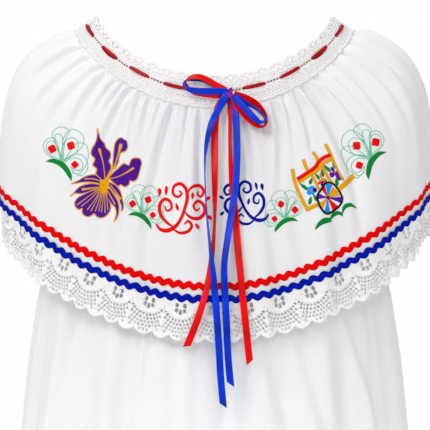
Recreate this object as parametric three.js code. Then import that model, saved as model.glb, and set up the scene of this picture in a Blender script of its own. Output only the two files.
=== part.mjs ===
// A peasant blouse with a wide scooped neck. A gathered flounce falls from a beaded lace neckband over the
// shoulders, edged with two rows of ric-rac braid and a deep scalloped lace, above a loose flared body.
// A ribbon is threaded round the neckband, and a double bow of two ribbons is tied at the front.
//
// Millimetres, +Z up. The front faces -Y. The origin is midway between the two shoulder ends of the neckline.

import * as THREE from "three";

// ---------------------------------------------------------------- driving sizes
const CLOTH = 1.2; // wall of the blouse cloth
const LACE = 1.0; // wall of both laces
const BRAID = 1.2; // thickness of the ric-rac
const SEAM = 0.3; // gap that parts two pieces sewn together
const RIBBON = { width: 9, thick: 1.0 };

// The scooped neckline: heights follow a cosine raised to DIP, lowest at centre front and centre back.
const DIP = 1.5;
const NECK_SEAM = { halfWidth: 188, halfDepth: 118, side: -14, centre: -124 };
const NECK_EDGE = { halfWidth: 160, halfDepth: 110, side: 6, centre: -81 };
const NECK_FOOT = 0.02; // the neckband's lower edge, clear of the flounce by this share of its height
const EYELETS = { count: 18, halfLength: 18, halfWaist: 9, halfHeight: 5.4, height: 0.44 };
const NECK_SCALLOPS = { count: 42, depth: 0.1 };

// Control rows of the flounce, from the neck seam to its hem. halfDepth and centre hold at centre front and
// back, halfWidth and side at the shoulders; sweep is how far the row's rise follows the hem's own curve, and
// swell how much of the hem's earlier climb it takes.
const FLOUNCE = [
  { halfDepth: 118, halfWidth: 188, centre: -124, side: -14, sweep: 0, swell: 0 },
  { halfDepth: 136, halfWidth: 266, centre: -206, side: -35, sweep: 1 / 3, swell: 0 },
  { halfDepth: 170, halfWidth: 300, centre: -292, side: -74, sweep: 2 / 3, swell: 0 },
  { halfDepth: 172, halfWidth: 290, centre: -382, side: -246, sweep: 1, swell: 1 },
];
const HEM_RISE = { broad: 0.79, late: 0.21 }; // shares of sin^2 and sin^8 in the rise towards the shoulders
const HEM_SWELL = { early: 0.16, late: 0.24 }; // shares of sin^2 and sin^4, both gone at the shoulders
const UPRIGHT = { from: 50, over: 40 }; // degrees: the trim turns from square to the hem to a straight fall
const FLOUNCE_ROWS = [0, 0.06, 0.2, 0.5, 0.85, 1];
const FLOUNCE_COLUMNS = 160; // all round
const PUFF = { depth: 3.4, by: 0.1 }; // the gathers stand this far off, once past this share of the depth

// Waves of cloth: count all round, depth at the seam and at the hem, and where each set starts and sways.
const FLOUNCE_FOLDS = [
  { count: 44, top: 2.5, hem: 0.3, phase: 0.4, sway: 0.9 },
  { count: 19, top: 0.8, hem: 2.4, phase: 1.9, sway: 1.1 },
  { count: 7, top: 0.2, hem: 1.8, phase: 0.6, sway: 0.5 },
];
const BODY_FOLDS = [
  { count: 18, top: 0.2, hem: 4.0, phase: 0.9, sway: 0.8 },
  { count: 7, top: 0.0, hem: 2.4, phase: 2.2, sway: 0.5 },
];

// The body's plan, an ellipse at each height.
const BODY = [
  { height: -124, halfWidth: 183.5, halfDepth: 115.8 },
  { height: -165, halfWidth: 186, halfDepth: 117 },
  { height: -215, halfWidth: 196, halfDepth: 126 },
  { height: -300, halfWidth: 222, halfDepth: 143 },
  { height: -380, halfWidth: 240, halfDepth: 152 },
  { height: -460, halfWidth: 252, halfDepth: 160 },
  { height: -620, halfWidth: 268, halfDepth: 176 },
];
const BODY_COLUMNS = 64; // all round
const BODY_ROWS = [0, 0.18, 0.42, 0.7, 1];
const BODY_TUCK = 1; // the body's top reaches this far up behind the neckband
const ARMHOLE = { from: 48, underarm: -215, fullness: 2.2 }; // degrees from centre front, height, curve

// Trims round the hem. above is the braid's centre line over the flounce's edge.
const BRAIDS = { waves: 112, swing: 2, halfWidth: 3.2, lift: 0.6, red: 22.7, blue: 6.4 };
const HEM_LACE = { repeats: 38, start: 0.55, depth: 50, scallop: 4.5 };

// Gaps of the pierced flower in each half moon of the hem lace: middle, half sizes and slant.
const PETALS = [
  { across: -4.9, down: 4.4, wide: 2.1, tall: 2.7, slant: 3 },
  { across: 4.9, down: 4.4, wide: 2.1, tall: 2.7, slant: -3 },
  { across: -5.1, down: 10.8, wide: 2, tall: 2.4, slant: 8 },
  { across: 5.1, down: 10.8, wide: 2, tall: 2.4, slant: -8 },
  { across: 0, down: 12.4, wide: 1.9, tall: 3, slant: 0 },
];

// The bow. Rows are points on each ribbon's centre line; face is the angle in degrees between the ribbon's
// width and the plane of the front, 0 where it lies flat to the front and 90 where it is seen edge on.
const KNOT = { x: 19.6, y: -122, z: -106, halfX: 6.5, halfY: 7, halfZ: 6.2 };
const BOW = {
  bow_loop_left_blue: {
    colour: "blue",
    rows: [
      { x: 13.4, y: -119.4, z: -102.5, face: 28 },
      { x: 1, y: -120.5, z: -96, face: 34 },
      { x: -14, y: -119.6, z: -88, face: 40 },
      { x: -27, y: -119, z: -84.6, face: 50 },
      { x: -36.5, y: -121.4, z: -88.5, face: 66 },
      { x: -39.5, y: -126.5, z: -95.5, face: 78 },
      { x: -35, y: -130.6, z: -102, face: 62 },
      { x: -24, y: -131.4, z: -105.4, face: 34 },
      { x: -8, y: -129.8, z: -105.4, face: 18 },
      { x: 4, y: -127.4, z: -104.6, face: 14 },
      { x: 13.2, y: -125.2, z: -104.4, face: 12 },
    ],
  },
  bow_loop_left_red: { colour: "red", inside: "bow_loop_left_blue" },
  bow_loop_right_red: {
    colour: "red",
    rows: [
      { x: 26.8, y: -119.6, z: -107, face: 20 },
      { x: 37, y: -122.4, z: -109.6, face: 30 },
      { x: 50, y: -125, z: -116.5, face: 42 },
      { x: 60, y: -127.4, z: -127.5, face: 54 },
      { x: 66, y: -130.6, z: -138.5, face: 66 },
      { x: 64.4, y: -135.6, z: -146, face: 76 },
      { x: 56.5, y: -139.6, z: -144.4, face: 64 },
      { x: 45.5, y: -138.4, z: -135, face: 40 },
      { x: 35.5, y: -134.4, z: -121.6, face: 24 },
      { x: 27.2, y: -127, z: -108.4, face: 16 },
    ],
  },
  bow_loop_right_blue: { colour: "blue", inside: "bow_loop_right_red" },
  bow_tail_blue_long: {
    colour: "blue",
    rows: [
      { x: 14.6, y: -125.6, z: -112.8, face: 6 },
      { x: 7, y: -131, z: -124, face: 8 },
      { x: 3, y: -133.6, z: -132.4, face: 11 },
      { x: -2, y: -136.4, z: -142, face: 16 },
      { x: -8.6, y: -141.5, z: -164, face: 40 },
      { x: -12, y: -147.5, z: -190, face: 66 },
      { x: -12.4, y: -152.6, z: -208, face: 70 },
      { x: -12, y: -157.5, z: -226, face: 72 },
      { x: -9.6, y: -167.5, z: -268, face: 68 },
      { x: -5.6, y: -176.5, z: -306, face: 56 },
      { x: -1.6, y: -182.5, z: -342, face: 28 },
      { x: 1.6, y: -185.5, z: -380, face: 10 },
      { x: 4.6, y: -186.5, z: -420, face: 4 },
      { x: 6.2, y: -186.9, z: -445, face: 4 },
      { x: 7.6, y: -187, z: -470, face: 4 },
      { x: 11.2, y: -187, z: -511, face: 4 },
    ],
  },
  bow_tail_red_left: {
    colour: "red",
    rows: [
      { x: 12.2, y: -120.4, z: -112.8, face: 8 },
      { x: 4.8, y: -124.6, z: -124, face: 10 },
      { x: 2.8, y: -127, z: -132.6, face: 10 },
      { x: 1.4, y: -129.5, z: -142, face: 10 },
      { x: 0.2, y: -136.5, z: -166, face: 12 },
      { x: 0.1, y: -140.4, z: -181, face: 13 },
      { x: 0.3, y: -144.5, z: -196, face: 14 },
      { x: 0.6, y: -154, z: -232, face: 20 },
      { x: 0.5, y: -158.3, z: -252, face: 21 },
      { x: 0.2, y: -162.5, z: -272, face: 22 },
      { x: -0.8, y: -166.6, z: -291, face: 20 },
      { x: -2.4, y: -170.5, z: -310, face: 18 },
      { x: -6.4, y: -177.5, z: -342, face: 12 },
      { x: -14, y: -183.5, z: -376, face: 8 },
      { x: -24, y: -185, z: -406, face: 6 },
      { x: -35.6, y: -185.5, z: -435, face: 4 },
    ],
  },
  bow_tail_blue_right: {
    colour: "blue",
    rows: [
      { x: 23.6, y: -122.4, z: -111.8, face: 10 },
      { x: 26.4, y: -129, z: -126, face: 14 },
      { x: 27.5, y: -133.2, z: -136, face: 12 },
      { x: 28.2, y: -137.5, z: -146, face: 10 },
      { x: 29.2, y: -144.6, z: -170, face: 8 },
      { x: 29.2, y: -151, z: -192, face: 6 },
      { x: 27.8, y: -158.5, z: -222, face: 8 },
      { x: 25.7, y: -162.6, z: -240, face: 9 },
      { x: 23, y: -166.5, z: -258, face: 10 },
      { x: 17, y: -174, z: -296, face: 24 },
      { x: 12.6, y: -180, z: -330, face: 30 },
      { x: 13.2, y: -183, z: -362, face: 12 },
      { x: 14.2, y: -183.6, z: -383, face: 7 },
      { x: 15.2, y: -184, z: -404, face: 4 },
      { x: 17.4, y: -184.4, z: -448, face: 4 },
      { x: 20.6, y: -184.6, z: -484, face: 4 },
    ],
  },
  bow_tail_red_right: {
    colour: "red",
    rows: [
      { x: 19.5, y: -119.2, z: -112.8, face: 12 },
      { x: 21, y: -123.6, z: -124, face: 14 },
      { x: 21.3, y: -126.6, z: -131, face: 19 },
      { x: 21.4, y: -129.5, z: -138, face: 24 },
      { x: 21.2, y: -134.5, z: -156, face: 40 },
      { x: 21.2, y: -138.4, z: -171, face: 44 },
      { x: 21.4, y: -142.5, z: -186, face: 46 },
      { x: 21.9, y: -146.5, z: -203, face: 42 },
      { x: 22.6, y: -150.5, z: -220, face: 36 },
      { x: 24.1, y: -154.8, z: -238, face: 28 },
      { x: 26, y: -159, z: -256, face: 18 },
      { x: 29.6, y: -168, z: -300, face: 8 },
      { x: 33.6, y: -175.5, z: -344, face: 6 },
      { x: 38, y: -179, z: -388, face: 4 },
      { x: 42, y: -180, z: -426, face: 4 },
      { x: 45.4, y: -180.4, z: -456, face: 4 },
    ],
  },
};
const LOOP_INSET = -1.6; // a bow's inner ribbon lies this far inside the outer one
const RIBBON_STEPS = { loop: 16, tail: 20 };

// ---------------------------------------------------------------- finishes
const FINISH = {
  white: { color: 0xf4f3f5, roughness: 0.85, metalness: 0 },
  lace: { color: 0xf2f0ef, roughness: 0.9, metalness: 0 },
  red: { color: 0xd00f12, roughness: 0.4, metalness: 0 },
  blue: { color: 0x0c2ca8, roughness: 0.4, metalness: 0 },
};
const material = (name) => new THREE.MeshStandardMaterial(FINISH[name]);

// ---------------------------------------------------------------- surfaces
const smooth = (x) => {
  const s = Math.min(1, Math.max(0, x));
  return s * s * (3 - 2 * s);
};
const mix = (a, b, s) => a + (b - a) * s;
const scoop = (angle) => 1 - Math.abs(Math.cos(angle)) ** DIP;
const hemRise = (angle) => HEM_RISE.broad * Math.sin(angle) ** 2 + HEM_RISE.late * Math.sin(angle) ** 8;

// A point on an oval ring: angle 0 is centre front, 90 degrees the wearer's left shoulder.
const ringPoint = (ring, angle, rise) =>
  new THREE.Vector3(
    ring.halfWidth * Math.sin(angle),
    -ring.halfDepth * Math.cos(angle),
    mix(ring.centre, ring.side, rise),
  );

const hemSwell = (angle) => {
  const square = Math.sin(angle) ** 2;
  return (HEM_SWELL.early * square + HEM_SWELL.late * square ** 2) * (1 - square);
};
const flounceRow = (row, angle) =>
  ringPoint(row, angle, mix(scoop(angle), hemRise(angle), row.sweep) + row.swell * hemSwell(angle));

// turn is the share of the way round, measured along the hem. It is turned into an angle by a table of
// lengths along the hem.
const TURN_STEPS = 1440;
const hemLengths = [0];
for (let i = 1; i <= TURN_STEPS; i++) {
  const [from, to] = [i - 1, i].map((k) => flounceRow(FLOUNCE[3], (2 * Math.PI * k) / TURN_STEPS));
  hemLengths.push(hemLengths[i - 1] + from.distanceTo(to));
}
const HEM_LENGTH = hemLengths[TURN_STEPS];
function angleAt(turn) {
  const whole = Math.floor(turn);
  const length = (turn - whole) * HEM_LENGTH;
  let low = 0;
  let high = TURN_STEPS;
  while (high - low > 1) {
    const middle = (low + high) >> 1;
    if (hemLengths[middle] <= length) low = middle;
    else high = middle;
  }
  const part = (length - hemLengths[low]) / (hemLengths[low + 1] - hemLengths[low]);
  return 2 * Math.PI * (whole + (low + part) / TURN_STEPS);
}

// Sum of the waves in a table of folds, at a turn and a share of the depth, in millimetres.
function foldDepth(folds, turn, share) {
  const around = 2 * Math.PI * turn;
  const fade = (1 - share) ** 2;
  let depth = 0;
  for (const fold of folds) {
    const wander = fold.sway * (Math.sin(3 * around + fold.phase) + 0.6 * Math.sin(5 * around + 2 * fold.phase));
    const uneven = 1 + 0.3 * Math.sin(4 * around + fold.count) + 0.2 * Math.sin(9 * around + fold.phase);
    depth += mix(fold.hem, fold.top, fade) * uneven * Math.cos(fold.count * around + fold.phase + wander);
  }
  return depth;
}

// The flounce without its folds: a cubic curve down four control rows.
function flounceBase(angle, share) {
  const rest = 1 - share;
  const weights = [rest ** 3, 3 * share * rest ** 2, 3 * share ** 2 * rest, share ** 3];
  const point = new THREE.Vector3();
  FLOUNCE.forEach((row, i) => point.addScaledVector(flounceRow(row, angle), weights[i]));
  return point;
}

// The way that a surface faces, from a step along each of its two directions.
const STEP = 1e-4;
function outward(surface, turn, down) {
  const across = surface(turn + STEP, down).sub(surface(turn - STEP, down));
  const along = surface(turn, down + STEP).sub(surface(turn, down - STEP));
  return along.cross(across).normalize();
}

const plainFlounce = (turn, share) => flounceBase(angleAt(turn), share);
function foldedFlounce(turn, share) {
  const lift = PUFF.depth * smooth(share / PUFF.by) + smooth(share / PUFF.by) * foldDepth(FLOUNCE_FOLDS, turn, share);
  return plainFlounce(turn, share).addScaledVector(outward(plainFlounce, turn, share), lift);
}

// The flounce between its rows is straight, so that what is sewn on it can be made from the same points.
function rowOf(share) {
  let row = 0;
  while (row < FLOUNCE_ROWS.length - 2 && share > FLOUNCE_ROWS[row + 1]) row++;
  return row;
}
function flounce(turn, share) {
  const row = rowOf(share);
  const [above, below] = [FLOUNCE_ROWS[row], FLOUNCE_ROWS[row + 1]];
  return foldedFlounce(turn, above).lerp(foldedFlounce(turn, below), (share - above) / (below - above));
}

// The depth of the flounce down one line, and a surface counted in millimetres from its hem, down positive.
function flounceDepth(turn) {
  let depth = 0;
  for (let i = 1; i < FLOUNCE_ROWS.length; i++)
    depth += flounce(turn, FLOUNCE_ROWS[i - 1]).distanceTo(flounce(turn, FLOUNCE_ROWS[i]));
  return depth;
}
function belowHem(turn, down) {
  const above = FLOUNCE_ROWS[FLOUNCE_ROWS.length - 2];
  const slant = hemSlant(turn);
  const at = turn - (down * slant) / HEM_LENGTH;
  const hem = foldedFlounce(at, 1);
  const upper = foldedFlounce(at, above);
  const slope = hem.clone().sub(upper);
  return hem.addScaledVector(slope, (down * Math.hypot(1, slant)) / slope.length());
}

// How far the fall of the cloth strays along the hem, for each millimetre square to the hem.
function hemSlant(turn) {
  const angle = angleAt(turn);
  const [before, here, after] = [-STEP, 0, STEP].map((step) => flounceRow(FLOUNCE[3], angle + step));
  const fall = here.sub(flounceRow(FLOUNCE[2], angle)).normalize();
  const lean = fall.dot(after.sub(before).normalize());
  const degrees = THREE.MathUtils.radToDeg(Math.asin(Math.abs(Math.sin(angle))));
  return (lean / Math.sqrt(1 - lean * lean)) * (1 - smooth((degrees - UPRIGHT.from) / UPRIGHT.over));
}

// The neckband between its seam, height 0, and the tops of its scallops, height 1. Down is minus height.
function neckband(turn, down) {
  const angle = angleAt(turn);
  const seam = ringPoint(NECK_SEAM, angle, scoop(angle));
  return seam.lerp(ringPoint(NECK_EDGE, angle, scoop(angle)), -down);
}
const BAND_HEIGHT = neckband(0, 0).distanceTo(neckband(0, -1));
const NECK_LENGTH = (() => {
  let length = 0;
  for (let i = 0; i < 360; i++)
    length += neckband(i / 360, -EYELETS.height).distanceTo(neckband((i + 1) / 360, -EYELETS.height));
  return length;
})();

// The body: its top edge follows the neck seam at the front and back and drops to the underarm at the sides.
function bodyTop(angle) {
  const fromCentre = THREE.MathUtils.radToDeg(Math.asin(Math.min(1, Math.abs(Math.sin(angle)))));
  const seamHeight = (a) => mix(NECK_SEAM.centre, NECK_SEAM.side, scoop(a)) + BODY_TUCK;
  if (fromCentre <= ARMHOLE.from) return seamHeight(angle);
  const part = (fromCentre - ARMHOLE.from) / (90 - ARMHOLE.from);
  const corner = seamHeight(THREE.MathUtils.degToRad(ARMHOLE.from));
  return mix(corner, ARMHOLE.underarm, 1 - (1 - part) ** ARMHOLE.fullness);
}
function bodySize(height, key) {
  if (height >= BODY[0].height) return BODY[0][key];
  const i = BODY.findIndex((row) => row.height <= height + 1e-9);
  const [upper, lower] = [BODY[i - 1], BODY[i]];
  return mix(upper[key], lower[key], (height - upper.height) / (lower.height - upper.height));
}
function plainBody(turn, share) {
  const angle = angleAt(turn);
  const hem = BODY[BODY.length - 1].height;
  const height = mix(bodyTop(angle), hem, Math.min(1, Math.max(0, share)));
  return new THREE.Vector3(
    bodySize(height, "halfWidth") * Math.sin(angle),
    -bodySize(height, "halfDepth") * Math.cos(angle),
    height,
  );
}
function body(turn, share) {
  const point = plainBody(turn, share);
  const grown = (NECK_SEAM.centre - point.z) / (NECK_SEAM.centre - BODY[BODY.length - 1].height);
  const down = Math.max(0, grown);
  const folds = smooth(down / 0.12) * foldDepth(BODY_FOLDS, turn, Math.min(1, down));
  const away = new THREE.Vector3(point.x / 268 ** 2, point.y / 176 ** 2, 0).normalize();
  return point.addScaledVector(away, folds);
}

// ---------------------------------------------------------------- solids
// A layout of corners and triangles in two numbers, turn and down. Corners given twice are shared.
class Layout {
  constructor() {
    this.corners = [];
    this.faces = [];
    this.known = new Map();
  }
  corner(turn, down) {
    const key = `${turn.toFixed(7)},${down.toFixed(5)}`;
    if (!this.known.has(key)) this.known.set(key, this.corners.push([turn, down]) - 1);
    return this.known.get(key);
  }
  // Adds a triangle, turned so that it faces outwards when turn runs right and down runs down.
  face(a, b, c) {
    const [[ax, ay], [bx, by], [cx, cy]] = [a, b, c].map((i) => this.corners[i]);
    const area = (bx - ax) * (cy - ay) - (cx - ax) * (by - ay);
    this.faces.push(area < 0 ? [a, b, c] : [a, c, b]);
  }
  // Fills a closed outline that has gaps in it. All are lists of [turn, down].
  fill(outline, gaps) {
    const flat = (ring) => ring.map(([turn, down]) => new THREE.Vector2(turn * HEM_LENGTH, down));
    const found = THREE.ShapeUtils.triangulateShape(flat(outline), gaps.map(flat));
    const all = [outline, ...gaps].flat().map(([turn, down]) => this.corner(turn, down));
    for (const triangle of found) this.face(...triangle.map((i) => all[i]));
  }
}

// A layout of columns and rows. downAt gives each column's own heights.
function gridLayout(turns, rowCount, downAt) {
  const layout = new Layout();
  for (let i = 0; i + 1 < turns.length; i++)
    for (let j = 0; j < rowCount; j++) {
      const [left, right] = [i, i + 1].map((column) =>
        [j, j + 1].map((row) => layout.corner(turns[column], downAt(column, row))),
      );
      layout.face(left[0], left[1], right[1]);
      layout.face(left[0], right[1], right[0]);
    }
  return layout;
}

// Carries a layout on to a surface and gives it a thickness, with its middle lifted off the surface.
function thicken(layout, surface, thickness, lift = () => 0, round = false) {
  const outer = [];
  const inner = [];
  for (const [turn, down] of layout.corners) {
    const point = surface(turn, down);
    const normal = outward(surface, turn, down);
    outer.push(point.clone().addScaledVector(normal, lift(turn) + thickness / 2));
    inner.push(point.clone().addScaledVector(normal, lift(turn) - thickness / 2));
  }
  return solidOf(outer, inner, round ? closeRing(layout) : layout.faces);
}

// On a piece that runs all the way round, the corners at turn 1 more are the ones it started with.
function closeRing(layout) {
  const first = Math.min(...layout.corners.map(([turn]) => turn));
  const same = layout.corners.map(([turn, down], i) =>
    turn > first + 1 - 1e-6 ? layout.corner(first, down) : i,
  );
  return layout.faces.map((face) => face.map((i) => same[i]));
}

// Joins an outer and an inner skin with walls along every open edge.
function solidOf(outer, inner, faces) {
  const positions = [];
  const add = (...points) => points.forEach((p) => positions.push(p.x, p.y, p.z));
  const edges = new Set();
  for (const [a, b, c] of faces) {
    add(outer[a], outer[b], outer[c]);
    add(inner[a], inner[c], inner[b]);
    for (const [from, to] of [[a, b], [b, c], [c, a]]) edges.add(`${from},${to}`);
  }
  for (const edge of edges) {
    const [from, to] = edge.split(",").map(Number);
    if (edges.has(`${to},${from}`)) continue;
    add(outer[to], outer[from], inner[from]);
    add(outer[to], inner[from], inner[to]);
  }
  return new THREE.BufferGeometry().setAttribute("position", new THREE.Float32BufferAttribute(positions, 3));
}

// ---------------------------------------------------------------- pieces
const blouse = new THREE.Group();
function addPiece(name, geometry, finish) {
  const mesh = new THREE.Mesh(geometry, material(finish));
  mesh.name = name;
  blouse.add(mesh);
}

// Front and back halves, parted by a seam at each side.
const SIDE_GAP = 0.00018;
const HALVES = { front: -0.25, back: 0.25 };
const halfTurns = (start, columns) =>
  Array.from({ length: columns + 1 }, (_, i) => clipToHalf(start, start + (0.5 * i) / columns));
const clipToHalf = (start, turn) => Math.min(start + 0.5 - SIDE_GAP, Math.max(start + SIDE_GAP, turn));

function makeFlounce(start) {
  const turns = halfTurns(start, FLOUNCE_COLUMNS / 2);
  const layout = gridLayout(turns, FLOUNCE_ROWS.length - 1, (_, row) => FLOUNCE_ROWS[row]);
  return thicken(layout, flounce, CLOTH);
}

function makeBody(start) {
  const turns = halfTurns(start, BODY_COLUMNS / 2);
  const layout = gridLayout(turns, BODY_ROWS.length - 1, (_, row) => BODY_ROWS[row]);
  return thicken(layout, body, CLOTH);
}

// Ric-rac: a flat braid that swings up and down, two columns to a wave, lying on the flounce.
function makeBraid(start, above) {
  const turns = halfTurns(start, BRAIDS.waves);
  const layout = gridLayout(turns, 1, (column, row) => {
    const swing = column % 2 ? BRAIDS.swing : -BRAIDS.swing;
    return swing - above + (row ? BRAIDS.halfWidth : -BRAIDS.halfWidth);
  });
  return thicken(layout, belowHem, BRAID, () => CLOTH / 2 + BRAIDS.lift + BRAID / 2);
}

// One repeat of the hem lace: a strip with a scallop below its middle and one below each end, and the gaps of
// one flower. The table follows one scallop from its lowest point to its next.
const SCALLOP = [
  { part: 0, drop: 1 },
  { part: 0.3, drop: 0.86 },
  { part: 0.5, drop: 0 },
  { part: 0.7, drop: 0.86 },
];
function makeHemLace(start) {
  const layout = new Layout();
  const shallow = HEM_LACE.depth - HEM_LACE.scallop;
  const width = 1 / HEM_LACE.repeats;
  for (let k = 0; k < HEM_LACE.repeats / 2; k++) {
    const left = start + k * width;
    const bottom = [0, 1].flatMap((lobe) =>
      SCALLOP.map(({ part, drop }) => [left + (lobe + part) * (width / 2), shallow + HEM_LACE.scallop * drop]),
    );
    const top = [1, 0.75, 0.5, 0.25].map((part) => [left + part * width, HEM_LACE.start]);
    const outline = [[left, HEM_LACE.start], ...bottom, [left + width, HEM_LACE.depth], ...top];
    const gaps = PETALS.map((gap) => petalGap(gap, left + width / 2));
    layout.fill(outline.map(([turn, down]) => [clipToHalf(start, turn), down]), gaps);
  }
  return thicken(layout, belowHem, LACE);
}
function petalGap({ across, down, wide, tall, slant }, middle) {
  const lean = THREE.MathUtils.degToRad(slant);
  return [[-1, -1], [1, -1], [1, 1], [-1, 1]].map(([i, j]) => {
    const x = i * wide * Math.cos(lean) - j * tall * Math.sin(lean);
    const y = i * wide * Math.sin(lean) + j * tall * Math.cos(lean);
    return [middle + (across + x) / HEM_LENGTH, down + y];
  });
}

// The neckband: one eyelet to a tile, under a scalloped edge.
const SCALLOP_SAMPLES = [0, 0.25, 0.75];
const scallopHeight = (turn) => {
  const part = ((turn * NECK_SCALLOPS.count) % 1 + 1) % 1;
  const corner = Math.min(part, 1 - part) / 0.25;
  return 1 - NECK_SCALLOPS.depth * (1 - Math.min(1, corner));
};
function makeNeckband(start) {
  const layout = new Layout();
  const width = 1 / EYELETS.count;
  for (let k = 0; k < EYELETS.count / 2; k++) {
    const left = start + k * width;
    const right = left + width;
    const tops = [];
    for (let s = Math.floor(left * NECK_SCALLOPS.count); s <= right * NECK_SCALLOPS.count; s++)
      for (const part of SCALLOP_SAMPLES) {
        const turn = (s + part) / NECK_SCALLOPS.count;
        if (turn > left + 1e-5 && turn < right - 1e-5) tops.unshift([turn, -scallopHeight(turn)]);
      }
    const foot = [0, 0.25, 0.5, 0.75, 1].map((part) => [left + part * width, -NECK_FOOT]);
    const ends = [[right, -scallopHeight(right)], ...tops, [left, -scallopHeight(left)]];
    const outline = [...foot, ...ends];
    layout.fill(outline.map(([turn, down]) => [clipToHalf(start, turn), down]), [eyelet(left + width / 2)]);
  }
  return thicken(layout, neckband, LACE);
}
function eyelet(middle) {
  const { halfLength, halfWaist, halfHeight, height } = EYELETS;
  const shape = [[-halfLength, 0], [-halfWaist, 1], [halfWaist, 1], [halfLength, 0], [halfWaist, -1], [-halfWaist, -1]];
  return shape.map(([x, y]) => [middle + x / NECK_LENGTH, -height - (y * halfHeight) / BAND_HEIGHT]);
}

// The ribbon threaded all round the neckband: behind the lace at each bar, out in each eyelet.
const THREAD = { behind: LACE / 2 + SEAM + RIBBON.thick / 2, slack: 0.6, out: 0.5, columns: 4, clear: 7 };
function makeNeckRibbon() {
  const columns = EYELETS.count * THREAD.columns;
  const turns = Array.from({ length: columns + 1 }, (_, i) => i / columns);
  const halfWidth = RIBBON.width / 2 / BAND_HEIGHT;
  const layout = gridLayout(turns, 1, (_, row) => (row ? halfWidth : -halfWidth) - EYELETS.height);
  const lift = (turn) => {
    const fromEyelet = Math.abs(turn * EYELETS.count - Math.round(turn * EYELETS.count));
    const away = (fromEyelet / EYELETS.count) * NECK_LENGTH;
    return away < THREAD.clear ? THREAD.out : -THREAD.behind - THREAD.slack;
  };
  return thicken(layout, neckband, RIBBON.thick, lift, true);
}

// A ribbon along a curve through rows. Its width turns between the plane of the front and the depth.
function ribbonLine(rows, steps) {
  const route = new THREE.CatmullRomCurve3(rows.map((r) => new THREE.Vector3(r.x, r.y, r.z)), false, "centripetal");
  return Array.from({ length: steps + 1 }, (_, i) => {
    const along = i / steps;
    const at = along * (rows.length - 1);
    const row = Math.min(rows.length - 2, Math.floor(at));
    const face = THREE.MathUtils.degToRad(mix(rows[row].face, rows[row + 1].face, at - row));
    const middle = route.getPoint(along);
    const ahead = route.getTangent(along);
    const across = new THREE.Vector3(0, -1, 0).cross(ahead).normalize();
    const width = across.multiplyScalar(Math.cos(face)).addScaledVector(new THREE.Vector3(0, -1, 0), Math.sin(face));
    width.addScaledVector(ahead, -width.dot(ahead)).normalize();
    return { middle, width, normal: ahead.cross(width).normalize() };
  });
}
function makeRibbon(line, inset = 0) {
  const half = RIBBON.width / 2;
  const outer = [];
  const inner = [];
  const faces = [];
  line.forEach(({ middle, width, normal }, i) => {
    for (const side of [-half, half]) {
      const edge = middle.clone().addScaledVector(width, side).addScaledVector(normal, inset);
      outer.push(edge.clone().addScaledVector(normal, RIBBON.thick / 2));
      inner.push(edge.clone().addScaledVector(normal, -RIBBON.thick / 2));
    }
    if (i) {
      const [a, b, c, d] = [2 * i - 2, 2 * i - 1, 2 * i, 2 * i + 1];
      faces.push([a, d, b], [a, c, d]);
    }
  });
  return solidOf(outer, inner, faces);
}

function makeKnot() {
  const knot = new THREE.SphereGeometry(1, 12, 8);
  knot.scale(KNOT.halfX, KNOT.halfY, KNOT.halfZ);
  return knot.translate(KNOT.x, KNOT.y, KNOT.z);
}

for (const [half, start] of Object.entries(HALVES)) {
  addPiece(`neckband_lace_${half}`, makeNeckband(start), "lace");
  addPiece(`flounce_${half}`, makeFlounce(start), "white");
  addPiece(`body_${half}`, makeBody(start), "white");
  addPiece(`ricrac_red_${half}`, makeBraid(start, BRAIDS.red), "red");
  addPiece(`ricrac_blue_${half}`, makeBraid(start, BRAIDS.blue), "blue");
  addPiece(`hem_lace_${half}`, makeHemLace(start), "lace");
}
addPiece("neck_ribbon", makeNeckRibbon(), "red");
addPiece("bow_knot", makeKnot(), "blue");
for (const [name, { colour, rows, inside }] of Object.entries(BOW)) {
  const steps = name.includes("loop") ? RIBBON_STEPS.loop : RIBBON_STEPS.tail;
  const line = ribbonLine(rows ?? BOW[inside].rows, steps);
  addPiece(name, makeRibbon(line, inside ? LOOP_INSET : 0), colour);
}

export default blouse;
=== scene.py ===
"""A peasant blouse in white cotton, dressed on its fixed frame: embroidered flounce, lace, braids, bow."""

import math

import bpy
import numpy as np
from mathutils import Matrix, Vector
from mathutils.geometry import delaunay_2d_cdt


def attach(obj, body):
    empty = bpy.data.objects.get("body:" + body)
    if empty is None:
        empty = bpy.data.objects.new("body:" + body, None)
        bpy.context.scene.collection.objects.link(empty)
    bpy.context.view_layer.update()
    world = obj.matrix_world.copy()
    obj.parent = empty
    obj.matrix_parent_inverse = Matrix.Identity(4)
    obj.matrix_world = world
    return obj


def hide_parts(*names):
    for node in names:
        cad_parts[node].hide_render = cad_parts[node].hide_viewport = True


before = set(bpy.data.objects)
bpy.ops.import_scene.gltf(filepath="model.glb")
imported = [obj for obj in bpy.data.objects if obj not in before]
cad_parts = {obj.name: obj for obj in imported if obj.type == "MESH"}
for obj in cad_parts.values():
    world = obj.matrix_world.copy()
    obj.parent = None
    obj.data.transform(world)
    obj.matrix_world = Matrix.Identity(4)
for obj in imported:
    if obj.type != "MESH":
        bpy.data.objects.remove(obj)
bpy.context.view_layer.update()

# Shapes are worked out in millimetres and put into the meshes in metres. The blouse faces -Y, +Z is up.
MM = 0.001
TAU = 2 * math.pi


def table(columns, *rows):
    """A small table: rows of numbers under column names."""
    return np.array(list(rows), dtype=[(name, float) for name in columns.split()])


# ---------------------------------------------------------------- sizes
WALLS = dict(cloth=0.8, lace=0.8, braid=0.9, ribbon=0.6)  # of what shows, thinner than the solids' walls
RIBBON_WIDTH = 9.0

# The neckline's seam and its scalloped edge: half sizes, heights at the shoulder and at centre front.
NECK_SEAM = dict(width=188, depth=118, side=-14, centre=-124)
NECK_EDGE = dict(width=160, depth=110, side=6, centre=-81)
NECK_DIP = 1.5
EYELETS = dict(count=18, length=36, height=9.4, at=0.48)
NECK_SCALLOPS = 42

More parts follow.
